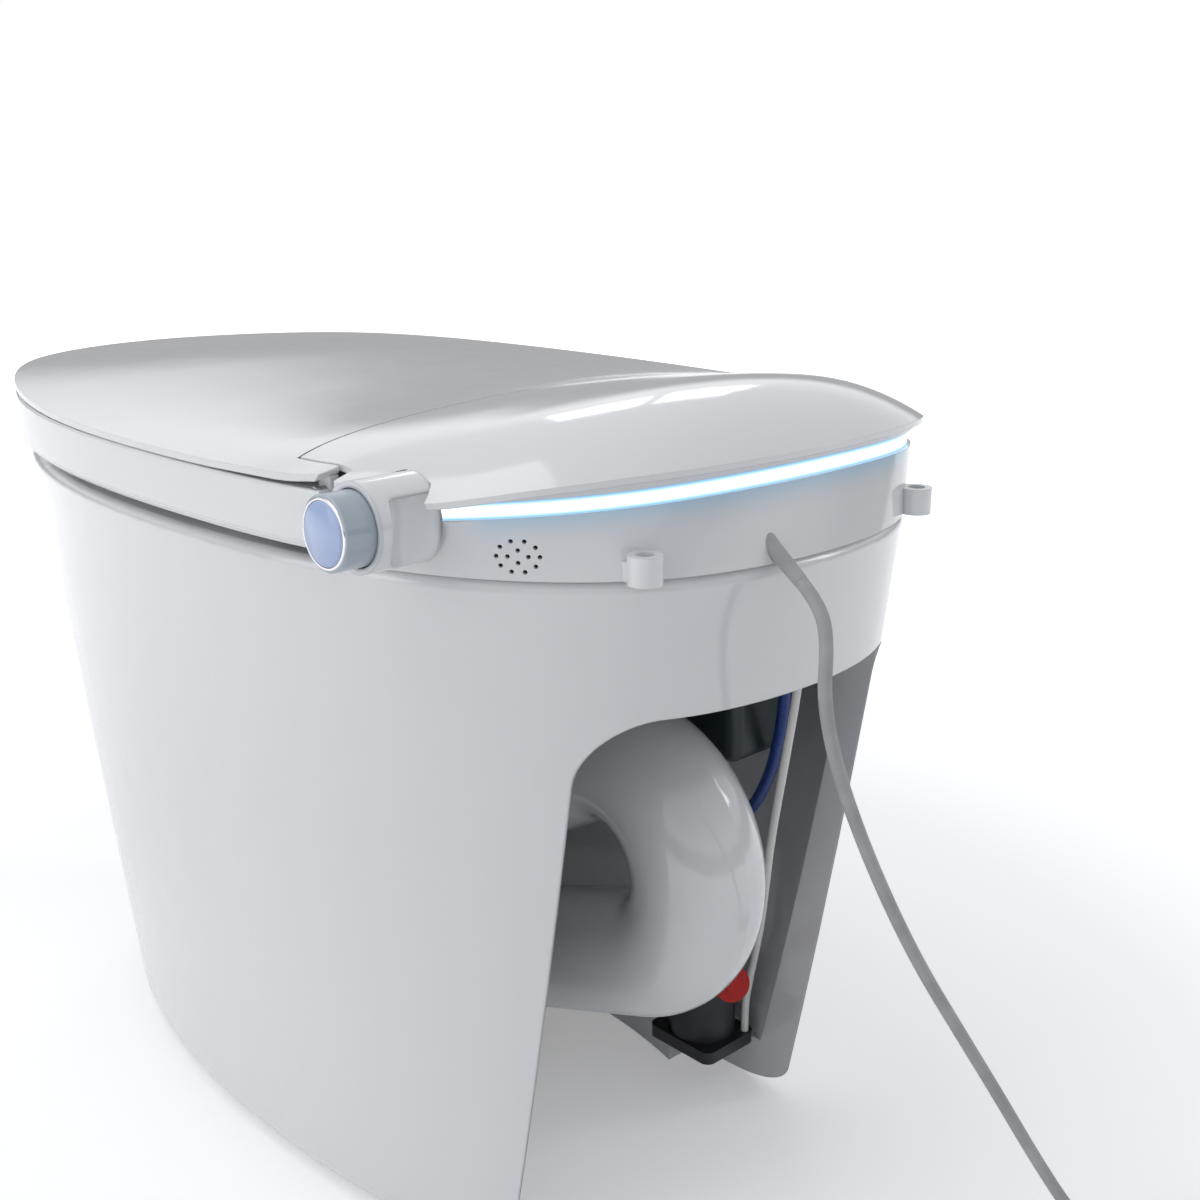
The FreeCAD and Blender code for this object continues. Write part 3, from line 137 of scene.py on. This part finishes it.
# Window whose four panes the cover's crown reflects
WINDOW_AT = (-1.45, -1.25, 1.42)
WINDOW_TARGET = (0.0, 0.2, 0.45)
PANE_ASIDE = 0.14
PANE_UP = 0.11
PANE_SIZE = (0.34, 0.19)
PANE_POWER = 0.5


# ---------------------------------------------------------------- colours and nodes
def colour(code):
    """Linear colour from an sRGB hex code."""
    channels = [int(code[index:index + 2], 16) / 255.0 for index in (1, 3, 5)]
    linear = [c / 12.92 if c <= 0.04045 else ((c + 0.055) / 1.055) ** 2.4 for c in channels]
    return tuple(linear)


def opaque(rgb):
    return (rgb[0], rgb[1], rgb[2], 1.0)


def scaled(rgb, factor):
    return tuple(factor * channel for channel in rgb)


def feed(tree, socket, source):
    """Link a socket to another one, or set it to a plain value."""
    if isinstance(source, bpy.types.NodeSocket):
        tree.links.new(source, socket)
    else:
        socket.default_value = source


def add_node(tree, kind, inputs=None, **settings):
    """Add a node with its settings, and feed its inputs with values or other sockets."""
    node = tree.nodes.new(kind)
    for name, value in settings.items():
        setattr(node, name, value)
    for key, source in (inputs or {}).items():
        feed(tree, node.inputs[key], source)
    return node


def node_of(material, kind):
    return next(node for node in material.node_tree.nodes if node.type == kind)


def object_place(tree):
    return add_node(tree, "ShaderNodeTexCoord").outputs["Object"]


def pattern(tree, size, detail=2.0, stretch=(1.0, 1.0, 1.0)):
    """Soft random pattern fixed to the object, with patches of about a given size."""
    mapping = add_node(tree, "ShaderNodeMapping", {"Vector": object_place(tree), "Scale": stretch})
    noise = add_node(tree, "ShaderNodeTexNoise", {"Vector": mapping.outputs["Vector"],
                                                  "Scale": 1.0 / size, "Detail": detail})
    return noise.outputs["Fac"]


def raised(tree, strength, depth, edge=0.0, **grain):
    """Normal raised by a pattern, over edges softened by a small radius."""
    bump = add_node(tree, "ShaderNodeBump", {"Height": pattern(tree, **grain),
                                             "Strength": strength, "Distance": depth})
    if edge > 0.0:
        soft = add_node(tree, "ShaderNodeBevel", {"Radius": edge}, samples=EDGE_SAMPLES)
        feed(tree, bump.inputs["Normal"], soft.outputs["Normal"])
    return bump.outputs["Normal"]


# ---------------------------------------------------------------- materials
def new_material(name):
    material = bpy.data.materials.new(name)
    material.use_nodes = True
    material.node_tree.nodes.clear()
    return material, material.node_tree


def finish(name, inputs, tones, tone, relief, tone_span=(0.0, 1.0), gloss=None, roughness=None):
    """Material whose tone and relief, and roughness where it's given, each follow a pattern."""
    material, tree = new_material(name)
    share = add_node(tree, "ShaderNodeMapRange", {"Value": pattern(tree, **tone),
                                                  "From Min": tone_span[0],
                                                  "From Max": tone_span[1]})
    mixed = add_node(tree, "ShaderNodeMix", {"Factor": share.outputs["Result"],
                                             "A": opaque(tones[0]),
                                             "B": opaque(tones[1])}, data_type="RGBA")
    shader = add_node(tree, "ShaderNodeBsdfPrincipled", inputs)
    feed(tree, shader.inputs["Base Color"], mixed.outputs["Result"])
    feed(tree, shader.inputs["Normal"], raised(tree, **relief))
    if roughness:
        uneven = add_node(tree, "ShaderNodeMapRange", {"Value": pattern(tree, **gloss),
                                                       "From Min": PATTERN_SPAN[0],
                                                       "From Max": PATTERN_SPAN[1],
                                                       "To Min": roughness[0],
                                                       "To Max": roughness[1]})
        feed(tree, shader.inputs["Roughness"], uneven.outputs["Result"])
    add_node(tree, "ShaderNodeOutputMaterial", {"Surface": shader.outputs["BSDF"]})
    return material


def glaze(name, base, shade):
    """Fired glaze: a clear coat over a white body, faintly wavy, with tone pooled in places."""
    return finish(name, {"IOR": 1.52, "Coat Weight": 0.6, "Coat Roughness": 0.05},
                  tones=(base, shade), tone={"size": 143.0 * MM, "detail": 3.0},
                  gloss={"size": 7.14 * MM}, roughness=(0.10, 0.16),
                  relief={"size": 38.5 * MM, "detail": 1.5, "strength": 0.10,
                          "depth": 0.6 * MM, "edge": 1.6 * MM})


def moulded(name, base, shade, rough, grain_size, grain, coat=0.0, edge=0.0):
    """Moulded plastic: shallow grain and faint unevenness of tone and gloss."""
    return finish(name, {"IOR": 1.49, "Coat Weight": coat, "Coat Roughness": 0.08},
                  tones=(base, shade), tone={"size": 91.0 * MM},
                  gloss={"size": 16.7 * MM, "detail": 3.0},
                  roughness=(0.85 * rough, 1.15 * rough),
                  relief={"size": grain_size, "strength": grain, "depth": 0.1 * MM, "edge": edge})


def metal(name, base, rough, brushing, stretch=(1.0, 1.0, 1.0)):
    """Turned, ground or plated metal: scratches, drawn coarser than real so that they show."""
    lines = {"size": 2.5 * MM, "detail": 4.0, "stretch": stretch}
    return finish(name, {"Metallic": 1.0}, tones=(scaled(base, 0.86), base), tone=lines,
                  gloss=lines, roughness=(0.7 * rough, 1.3 * rough),
                  relief=dict(lines, strength=brushing, depth=0.05 * MM))


def rubber(name, base, worn):
    """Matt rubber or soft PVC: dusty patches, and a fine skin drawn as coarse as it shows."""
    return finish(name, {"Roughness": 0.62, "Specular IOR Level": 0.35}, tones=(base, worn),
                  tone={"size": 22.2 * MM, "detail": 4.0}, tone_span=(0.45, 0.8),
                  relief={"size": 1.11 * MM, "strength": 0.25, "depth": 0.12 * MM})


def above_strip(tree, place):
    """Height of a point over the middle line of the strip, which climbs with Y."""
    axes = add_node(tree, "ShaderNodeSeparateXYZ", {"Vector": place}).outputs
    level = add_node(tree, "ShaderNodeMath", {0: axes["Y"], 1: -STRIP_CLIMB, 2: axes["Z"]},
                     operation="MULTIPLY_ADD")
    above = add_node(tree, "ShaderNodeMath", {0: level.outputs["Value"], 1: STRIP_MIDDLE},
                     operation="SUBTRACT")
    return above.outputs["Value"]


def glow(name, core, halo, strength):
    """Lit opal diffuser: white along its middle and blue towards its long edges."""
    material, tree = new_material(name)
    away = add_node(tree, "ShaderNodeMath", {0: above_strip(tree, object_place(tree))},
                    operation="ABSOLUTE")
    edge = add_node(tree, "ShaderNodeMapRange", {"Value": away.outputs["Value"],
                                                 "From Min": STRIP_WHITE,
                                                 "From Max": STRIP_BLUE})
    mixed = add_node(tree, "ShaderNodeMix", {"Factor": edge.outputs["Result"],
                                             "A": opaque(core), "B": opaque(halo)},
                     data_type="RGBA")
    shader = add_node(tree, "ShaderNodeBsdfPrincipled",
                      {"Base Color": opaque(halo), "Roughness": 0.35,
                       "Emission Color": mixed.outputs["Result"], "Emission Strength": strength})
    add_node(tree, "ShaderNodeOutputMaterial", {"Surface": shader.outputs["BSDF"]})
    return material


def facing_out(tree, place):
    """1 where a surface faces away from the housing's middle, 0 where it faces in, up or down."""
    arm = add_node(tree, "ShaderNodeVectorMath", {0: place, 1: HOUSING_MIDDLE},
                   operation="SUBTRACT")
    level_arm = add_node(tree, "ShaderNodeVectorMath", {0: arm.outputs["Vector"],
                                                        1: (1.0, 1.0, 0.0)},
                         operation="MULTIPLY")
    normal = add_node(tree, "ShaderNodeNewGeometry").outputs["Normal"]
    along = add_node(tree, "ShaderNodeVectorMath", {0: level_arm.outputs["Vector"], 1: normal},
                     operation="DOT_PRODUCT")
    outward = add_node(tree, "ShaderNodeMapRange", {"Value": along.outputs["Value"],
                                                    "From Min": FACING_OUT[0],
                                                    "From Max": FACING_OUT[1]})
    return outward.outputs["Result"]


def from_collar(tree, place):
    """Distance of a point from the knob's collar."""
    away = add_node(tree, "ShaderNodeVectorMath", {0: place, 1: COLLAR_AT}, operation="DISTANCE")
    return away.outputs["Value"]


def lit_from_strip(material):
    """Blue light and shade under the strip, fading down the wall and towards the knob's collar."""
    tree = material.node_tree
    shader = node_of(material, "BSDF_PRINCIPLED")
    place = object_place(tree)
    near = add_node(tree, "ShaderNodeMapRange",
                    {"Value": above_strip(tree, place),
                     "From Min": -0.5 * STRIP_HEIGHT - SPILL_REACH,
                     "From Max": -0.5 * STRIP_HEIGHT})
    past_collar = add_node(tree, "ShaderNodeMapRange", {"Value": from_collar(tree, place),
                                                        "From Min": COLLAR_INNER,
                                                        "From Max": COLLAR_OUTER})
    where = add_node(tree, "ShaderNodeMath", {0: past_collar.outputs["Result"],
                                              1: facing_out(tree, place)},
                     operation="MULTIPLY")
    both = add_node(tree, "ShaderNodeMath", {0: near.outputs["Result"],
                                             1: where.outputs["Value"]}, operation="MULTIPLY")
    fall = add_node(tree, "ShaderNodeMath", {0: both.outputs["Value"], 1: SPILL_POWER},
                    operation="POWER")
    plain = shader.inputs["Base Color"].links[0].from_socket
    # Painted blue light as a faint emission, and painted shade as the base colour mixed towards a
    # darker blue-grey
    for name, first, second in (("Emission Color", opaque((0.0, 0.0, 0.0)), SPILL_TINT),
                                ("Base Color", plain, SPILL_SHADE)):
        mixed = add_node(tree, "ShaderNodeMix", {"Factor": fall.outputs["Value"], "A": first,
                                                 "B": opaque(colour(second))},
                         data_type="RGBA")
        feed(tree, shader.inputs[name], mixed.outputs["Result"])
    feed(tree, shader.inputs["Emission Strength"], SPILL_STRENGTH)


def round_collar(material):
    """Edges that look rounder at the knob's collar, fading to the material's own small radius."""
    tree = material.node_tree
    soft = node_of(material, "BEVEL")
    soft.samples = COLLAR_EDGE_SAMPLES
    radius = add_node(tree, "ShaderNodeMapRange",
                      {"Value": from_collar(tree, object_place(tree)),
                       "From Min": COLLAR_INNER, "From Max": COLLAR_REACH,
                       "To Min": COLLAR_EDGE, "To Max": soft.inputs["Radius"].default_value})
    feed(tree, soft.inputs["Radius"], radius.outputs["Result"])


def dress(material, *nodes):
    """Give CAD nodes a material, leaving their shapes alone."""
    for name in nodes:
        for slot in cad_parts[name].material_slots:
            slot.material = material


def looks():
    return bpy.context.scene.toilet_looks


# ---------------------------------------------------------------- mesh helpers
def link_mesh(bm, name, material):
    """Turn a bmesh into an object in the scene."""
    mesh = bpy.data.meshes.new(name)
    bm.to_mesh(mesh)
    bm.free()
    mesh.materials.append(material)
    piece = bpy.data.objects.new(name, mesh)
    bpy.context.scene.collection.objects.link(piece)
    return piece


def turned(profile, centre, axis, steps):
    """Closed solid turned about an axis from (along, radius) points."""
    bm = bmesh.new()
    points = [bm.verts.new((0.0, radius, along)) for along, radius in profile]
    edges = [bm.edges.new(pair) for pair in zip(points, points[1:])]
    bmesh.ops.spin(bm, geom=points + edges, cent=(0, 0, 0), axis=(0, 0, 1), dvec=(0, 0, 0),
                   angle=2.0 * math.pi, steps=steps, use_merge=True)
    bmesh.ops.remove_doubles(bm, verts=bm.verts, dist=1e-6)
    turn = Vector((0, 0, 1)).rotation_difference(Vector(axis)).to_matrix().to_4x4()
    bmesh.ops.transform(bm, matrix=Matrix.Translation(Vector(centre)) @ turn, verts=bm.verts)
    bmesh.ops.recalc_face_normals(bm, faces=bm.faces)
    return bm


# ---------------------------------------------------------------- settings
def colour_setting(name, description, code):
    return bpy.props.FloatVectorProperty(name=name, description=description, subtype="COLOR",
                                         size=3, default=colour(code), min=0.0, max=1.0)


class ToiletLooks(bpy.types.PropertyGroup):
    glaze_white: colour_setting("Glaze", "White of the ceramic glaze", "#e5e6e8")
    plastic_white: colour_setting("Plastic", "White of the lid, seat and housing", "#e6e7e9")
    film_blue: colour_setting("Film", "Light blue of the film over the knob", "#b0c2e8")
    cord_grey: colour_setting("Cord", "Grey of the mains cord", "#a6a7a8")
    strip_power: bpy.props.FloatProperty(
        name="Strip light", description="Emission of the light strip", default=1.7, min=0.0)
    film_thickness: bpy.props.FloatProperty(
        name="Film thickness", description="Thickness of the knob's protective film",
        default=0.12 * MM, min=0.01 * MM, max=1.0 * MM, unit="LENGTH")
    cord_bevel: bpy.props.FloatProperty(
        name="Cord radius", description="Radius of the mains cord",
        default=CORD_RADIUS, min=1.0 * MM, max=6.0 * MM, unit="LENGTH")


# ---------------------------------------------------------------- operators
class TOILET_OT_camera(bpy.types.Operator):
    """Place the camera where the photograph was taken"""
    bl_idname = "toilet.camera"
    bl_label = "Camera"

    def execute(self, context):
        data = bpy.data.cameras.new("photo_camera")
        data.sensor_width = SENSOR
        data.lens = SENSOR * FOCAL_OVER_WIDTH
        data.clip_start = 0.01
        camera = bpy.data.objects.new("photo_camera", data)
        camera.location = CAMERA_AT
        camera.rotation_euler = (math.pi / 2.0 - CAMERA_ELEVATION, 0.0, CAMERA_AZIMUTH)
        context.scene.collection.objects.link(camera)
        context.scene.camera = camera
        context.scene.view_settings.view_transform = "Standard"
        return {"FINISHED"}


def coil_points():
    """The coil's turns: in along the floor, up a layer, and out again on top."""
    centre = Vector(CORD_ROUTE[-1]) + Vector((-COIL_RADIUS, 2.0 * CORD_RADIUS / MM, 0.0))
    middle = COIL_TURNS / 2.0
    points = []
    for index in range(int(COIL_TURNS * COIL_POINTS) + 1):
        turn = index / COIL_POINTS
        radius = COIL_RADIUS - COIL_STEP * (middle - abs(turn - middle))
        climb = min(max((turn - middle) / COIL_CLIMB + 0.5, 0.0), 1.0)
        angle = 2.0 * math.pi * turn
        points.append(centre + Vector((radius * math.cos(angle), radius * math.sin(angle),
                                       COIL_STEP * climb)))
    for _ in range(2):
        points.append(points[-1] + Vector((0.0, 0.5 * COIL_LEAD_OUT, 0.0)))
    return points


class TOILET_OT_cord(bpy.types.Operator):
    """Lay the mains cord from its strain relief to the coil and plug"""
    bl_idname = "toilet.cord"
    bl_label = "Mains cord"

    def execute(self, context):
        points = [Vector(point) for point in CORD_ROUTE] + coil_points()
        curve = bpy.data.curves.new("mains_cord", "CURVE")
        curve.dimensions = "3D"
        curve.bevel_depth = looks().cord_bevel
        curve.bevel_resolution = 5
        curve.use_fill_caps = True
        curve.resolution_u = 6
        spline = curve.splines.new("NURBS")
        spline.points.add(len(points) - 1)
        for target, point in zip(spline.points, points):
            target.co = (point.x * MM, point.y * MM, point.z * MM, 1.0)
        spline.order_u = 3
        spline.use_endpoint_u = True
        cord = bpy.data.objects.new("mains_cord", curve)
        context.scene.collection.objects.link(cord)
        grey = tuple(looks().cord_grey)
        # Matt light grey
        jacket = rubber("cord jacket, PVC", grey, worn=scaled(grey, 1.25))
        curve.materials.append(jacket)
        dress(jacket, "cord_gland")
        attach(cord, "base")
        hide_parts("power_cord", "cord_coil")
        return {"FINISHED"}


class TOILET_OT_ceramic(bpy.types.Operator):
    """Glaze the pan and dress its outlet seal and gasket"""
    bl_idname = "toilet.ceramic"
    bl_label = "Ceramic pan"

    def execute(self, context):
        white = tuple(looks().glaze_white)
        # Deep white gloss whose reflections waver a little
        dress(glaze("vitreous china glaze", white, scaled(white, 0.965)), "ceramic_pan")
        # Dead black, with hardly a highlight
        dress(rubber("black EPDM rubber", colour("#1c1c1d"), worn=colour("#2e2e30")),
              "outlet_seal", "deck_gasket")
        return {"FINISHED"}


class TOILET_OT_shells(bpy.types.Operator):
    """Give the lid, seat and housing their gloss plastic, and dress what they carry"""
    bl_idname = "toilet.shells"
    bl_label = "Lid, seat and housing"

    def execute(self, context):
        white = tuple(looks().plastic_white)
        shade = scaled(white, 0.97)
        # Clean white gloss with soft edges
        dress(moulded("gloss white polypropylene", white, shade, **SHELL_FINISH),
              "lid_panel", "seat_shell", "seat_base", "top_cover", "nozzle_housing", "dryer_flap")
        # The same gloss, with painted blue light and painted shade under the strip, rounder at the
        # collar
        wall = moulded("gloss white housing, lit by its strip", white, shade, **SHELL_FINISH)
        lit_from_strip(wall)
        round_collar(wall)
        dress(wall, "housing_base")
        # Slightly duller white
        dress(moulded("white wand plastic", white, shade, rough=0.2, grain_size=16.7 * MM, grain=0.05),
              "rear_wash_wand", "front_wash_wand")
        # Soft pale grey that stays matt
        dress(rubber("grey buffer rubber", colour("#c3c5c8"), worn=colour("#d2d3d5")),
              "lid_bumpers", "seat_bumpers")
        # Pale, satiny metal
        dress(metal("heating foil, aluminium", colour("#c9cacc"), rough=0.3, brushing=0.1),
              "seat_heater")
        # Grey metal with long scratches
        dress(metal("ground stainless steel", colour("#b9babc"), rough=0.25, brushing=0.15,
                    stretch=(0.02, 1.0, 1.0)),
              "lid_drive_shaft", "seat_drive_shaft", "rear_wand_motor", "front_wand_motor",
              "water_heater")
        return {"FINISHED"}


class TOILET_OT_light_strip(bpy.types.Operator):
    """Light the strip between the cover and the housing"""
    bl_idname = "toilet.light_strip"
    bl_label = "Light strip"

    def execute(self, context):
        # Even white glow with blue edges
        dress(glow("lit opal acrylic", colour("#f8fdff"), colour("#6f98b6"),
                   looks().strip_power),
              "led_light_guide")
        # Dull green board
        dress(moulded("circuit laminate", colour("#0f4a35"), colour("#14583f"), rough=0.4,
                      grain_size=5.0 * MM, grain=0.2),
              "led_board", "control_board")
        return {"FINISHED"}


class TOILET_OT_knob(bpy.types.Operator):
    """Dress the knob and lay the blue film over its face"""
    bl_idname = "toilet.knob"
    bl_label = "Knob"

    def execute(self, context):
        # Cool grey with a broad, soft highlight
        dress(moulded("satin grey knob plastic", colour("#b2bec7"), colour("#a9b5bf"), rough=0.24,
                      grain_size=12.5 * MM, grain=0.05, coat=0.4, edge=0.4 * MM),
              "knob_ring")
        # Mirror-like ring
        dress(metal("bright chrome plate", colour("#e3e4e6"), rough=0.06, brushing=0.02),
              "knob_bezel")
        blue = tuple(looks().film_blue)
        # Light blue seen through the film
        dress(moulded("blue tinted face", blue, blue, rough=0.2, grain_size=20.0 * MM, grain=0.05),
              "knob_button")
        thick = looks().film_thickness
        rim = FILM_RADIUS - FILM_CHAMFER
        profile = [(0.0, 0.0), (0.0, rim), (0.4 * thick, FILM_RADIUS), (thick, rim), (thick, 0.0)]
        centre = (KNOB_FACE[0] + FILM_GAP, KNOB_FACE[1], KNOB_FACE[2])
        # Light blue, faintly crinkled film
        film = moulded("protective film, polyethylene", blue, scaled(blue, 0.93), rough=0.22,
                       grain_size=8.33 * MM, grain=0.6, coat=0.3)
        piece = link_mesh(turned(profile, centre, (1, 0, 0), FILM_STEPS), "knob_film", film)
        piece.data.shade_smooth()
        piece.data.set_sharp_from_angle(angle=FILM_SHARP_ANGLE)
        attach(piece, "button")
        return {"FINISHED"}


class TOILET_OT_inside(bpy.types.Operator):
    """Dress the hoses, pump, tank and fittings that show through the open back"""
    bl_idname = "toilet.inside"
    bl_label = "Inside parts"

    def execute(self, context):
        # Coarse, near-black grain
        dress(moulded("black glass-filled nylon", colour("#1b1d1f"), colour("#26282a"),
                      rough=0.45, grain_size=3.125 * MM, grain=0.5),
              "flush_pump", "lid_damper", "seat_damper", "solenoid_valve", "knob_encoder",
              "speaker", "dryer_duct", "dryer_blower_case")
        # Waxy blue-black
        dress(moulded("dark tank polyethylene", colour("#15242a"), colour("#1d3138"),
                      rough=0.4, grain_size=14.3 * MM, grain=0.4),
              "reservoir")
        # Plain mid grey
        dress(moulded("grey acetal", colour("#9a9c9e"), colour("#8d8f92"),
                      rough=0.35, grain_size=11.1 * MM, grain=0.2),
              "rear_wand_pinion", "front_wand_pinion", "dryer_impeller", "power_supply")
        # Bright red with a clear highlight
        dress(moulded("gloss red cap", colour("#c4201c"), colour("#b01a18"),
                      rough=0.22, grain_size=16.7 * MM, grain=0.1),
              "pump_cap")
        # Warm yellow metal with long scratches
        dress(metal("machined brass", colour("#c8a763"), rough=0.22, brushing=0.1,
                    stretch=(1.0, 1.0, 0.05)),
              "inlet_fitting")
        # Dark, shiny blue
        dress(moulded("blue polyurethane tube", colour("#17408f"), colour("#123476"),
                      rough=0.25, grain_size=20.0 * MM, grain=0.05),
              "blue_hose")
        # Milky white with a soft sheen
        dress(moulded("white silicone tube", colour("#e6e6e2"), colour("#dcdcd8"),
                      rough=0.4, grain_size=20.0 * MM, grain=0.05),
              "white_hose")
        return {"FINISHED"}


class TOILET_OT_plug(bpy.types.Operator):
    """Dress the mains plug at the end of the cord"""
    bl_idname = "toilet.plug"
    bl_label = "Mains plug"

    def execute(self, context):
        # Matt mid grey
        dress(rubber("plug body, PVC", colour("#8a8b8c"), worn=colour("#9c9d9e")), "mains_plug")
        return {"FINISHED"}


# ---------------------------------------------------------------- studio
def area_light(name, at, aim, size, power, tint):
    data = bpy.data.lights.new(name, "AREA")
    data.shape = "RECTANGLE"
    data.size = size[0]
    data.size_y = size[1]
    data.energy = power
    data.color = tint
    light = bpy.data.objects.new(name, data)
    light.location = at
    light.rotation_euler = (Vector(aim) - Vector(at)).to_track_quat("-Z", "Y").to_euler()
    bpy.context.scene.collection.objects.link(light)


def floor_finish():
    """Pale floor that runs out into the white backdrop and keeps the shadow near the object."""
    material, tree = new_material("pale floor")
    shader = add_node(tree, "ShaderNodeBsdfPrincipled",
                      {"Base Color": opaque(colour("#f2f2f3")), "Roughness": 0.8,
                       "Normal": raised(tree, strength=0.05, depth=0.1 * MM, size=3.33 * MM)})
    away = add_node(tree, "ShaderNodeVectorMath", {0: object_place(tree)}, operation="LENGTH")
    lift = add_node(tree, "ShaderNodeMapRange",
                    {"Value": away.outputs["Value"],
                     "From Min": FLOOR_NEAR[0], "From Max": FLOOR_FAR[0],
                     "To Min": FLOOR_NEAR[1], "To Max": FLOOR_FAR[1]})
    rays = add_node(tree, "ShaderNodeLightPath").outputs
    seen = add_node(tree, "ShaderNodeMath", {0: rays["Is Glossy Ray"], 1: FLOOR_IN_GLAZE,
                                             2: rays["Is Camera Ray"]},
                    operation="MULTIPLY_ADD")
    power = add_node(tree, "ShaderNodeMath", {0: lift.outputs["Result"],
                                              1: seen.outputs["Value"]}, operation="MULTIPLY")
    white = add_node(tree, "ShaderNodeEmission", {"Color": opaque(colour("#ffffff")),
                                                  "Strength": power.outputs["Value"]})
    both = add_node(tree, "ShaderNodeAddShader", {0: shader.outputs["BSDF"],
                                                  1: white.outputs["Emission"]})
    add_node(tree, "ShaderNodeOutputMaterial", {"Surface": both.outputs["Shader"]})
    return material


def lay_floor():
    """Square floor just under the object's foot."""
    bm = bmesh.new()
    bmesh.ops.create_grid(bm, x_segments=1, y_segments=1, size=FLOOR_REACH,
                          matrix=Matrix.Translation((0.0, 0.0, FLOOR_Z)))
    link_mesh(bm, "studio_floor", floor_finish())


def room_in_glaze(tree):
    """Grey of the room by height: dark near the horizon, bright above it."""
    direction = add_node(tree, "ShaderNodeTexCoord").outputs["Generated"]
    height = add_node(tree, "ShaderNodeSeparateXYZ", {"Vector": direction}).outputs["Z"]
    ramp = add_node(tree, "ShaderNodeValToRGB", {"Fac": height})
    stops = ramp.color_ramp.elements
    while len(stops) < len(ROOM_IN_GLAZE):
        stops.new(0.5)
    for stop, (position, level) in zip(stops, ROOM_IN_GLAZE):
        grey = level / ROOM_BRIGHTEST
        stop.position = position
        stop.color = (grey, grey, grey, 1.0)
    return ramp.outputs["Color"]


def fill_room(scene):
    """White backdrop to the camera, soft light to matt surfaces, a graded room to glossy ones."""
    world = bpy.data.worlds.new("studio")
    world.use_nodes = True
    scene.world = world
    tree = world.node_tree
    tree.nodes.clear()
    rays = add_node(tree, "ShaderNodeLightPath").outputs
    backdrop = add_node(tree, "ShaderNodeBackground", {"Color": opaque(colour("#ffffff")),
                                                       "Strength": 1.0})
    soft = add_node(tree, "ShaderNodeBackground", {"Color": opaque(colour("#eef1f6")),
                                                   "Strength": ROOM_ON_MATT})
    room = add_node(tree, "ShaderNodeBackground", {"Color": room_in_glaze(tree),
                                                   "Strength": ROOM_BRIGHTEST})
    light = add_node(tree, "ShaderNodeMixShader", {"Fac": rays["Is Glossy Ray"],
                                                   1: soft.outputs["Background"],
                                                   2: room.outputs["Background"]})
    whole = add_node(tree, "ShaderNodeMixShader", {"Fac": rays["Is Camera Ray"],
                                                   1: light.outputs["Shader"],
                                                   2: backdrop.outputs["Background"]})
    add_node(tree, "ShaderNodeOutputWorld", {"Surface": whole.outputs["Shader"]})


def hang_lights():
    """Softboxes over, beside and behind the object, and the four panes of a window."""
    for softbox in SOFTBOXES:
        area_light(*softbox)
    for column in (-1, 1):
        for row in (-1, 1):
            pane = (WINDOW_AT[0] - PANE_ASIDE * column, WINDOW_AT[1] + PANE_ASIDE * column,
                    WINDOW_AT[2] + PANE_UP * row)
            area_light("window_pane", pane, WINDOW_TARGET, PANE_SIZE, PANE_POWER, (1.0, 1.0, 1.0))


class TOILET_OT_stage(bpy.types.Operator):
    """Lay the pale floor, its backdrop and the soft lights"""
    bl_idname = "toilet.stage"
    bl_label = "Studio"

    def execute(self, context):
        lay_floor()
        fill_room(context.scene)
        hang_lights()
        return {"FINISHED"}


# ---------------------------------------------------------------- panel and registration
class TOILET_PT_panel(bpy.types.Panel):
    bl_idname = "TOILET_PT_panel"
    bl_label = "Smart toilet"
    bl_space_type = "VIEW_3D"
    bl_region_type = "UI"
    bl_category = "Smart toilet"

    def draw(self, context):
        for name in ToiletLooks.__annotations__:
            self.layout.prop(context.scene.toilet_looks, name)
        for operator in OPERATORS:
            self.layout.operator(operator.bl_idname)


OPERATORS = (
    TOILET_OT_camera,
    TOILET_OT_cord,
    TOILET_OT_ceramic,
    TOILET_OT_shells,
    TOILET_OT_light_strip,
    TOILET_OT_knob,
    TOILET_OT_inside,
    TOILET_OT_plug,
    TOILET_OT_stage,
)
CLASSES = (ToiletLooks,) + OPERATORS + (TOILET_PT_panel,)


def register():
    for cls in CLASSES:
        bpy.utils.register_class(cls)
    bpy.types.Scene.toilet_looks = bpy.props.PointerProperty(type=ToiletLooks)


def unregister():
    del bpy.types.Scene.toilet_looks
    for cls in reversed(CLASSES):
        bpy.utils.unregister_class(cls)


def main():
    register()
    for operator in OPERATORS:
        group, name = operator.bl_idname.split(".")
        getattr(getattr(bpy.ops, group), name)()


if __name__ == "__main__":
    main()
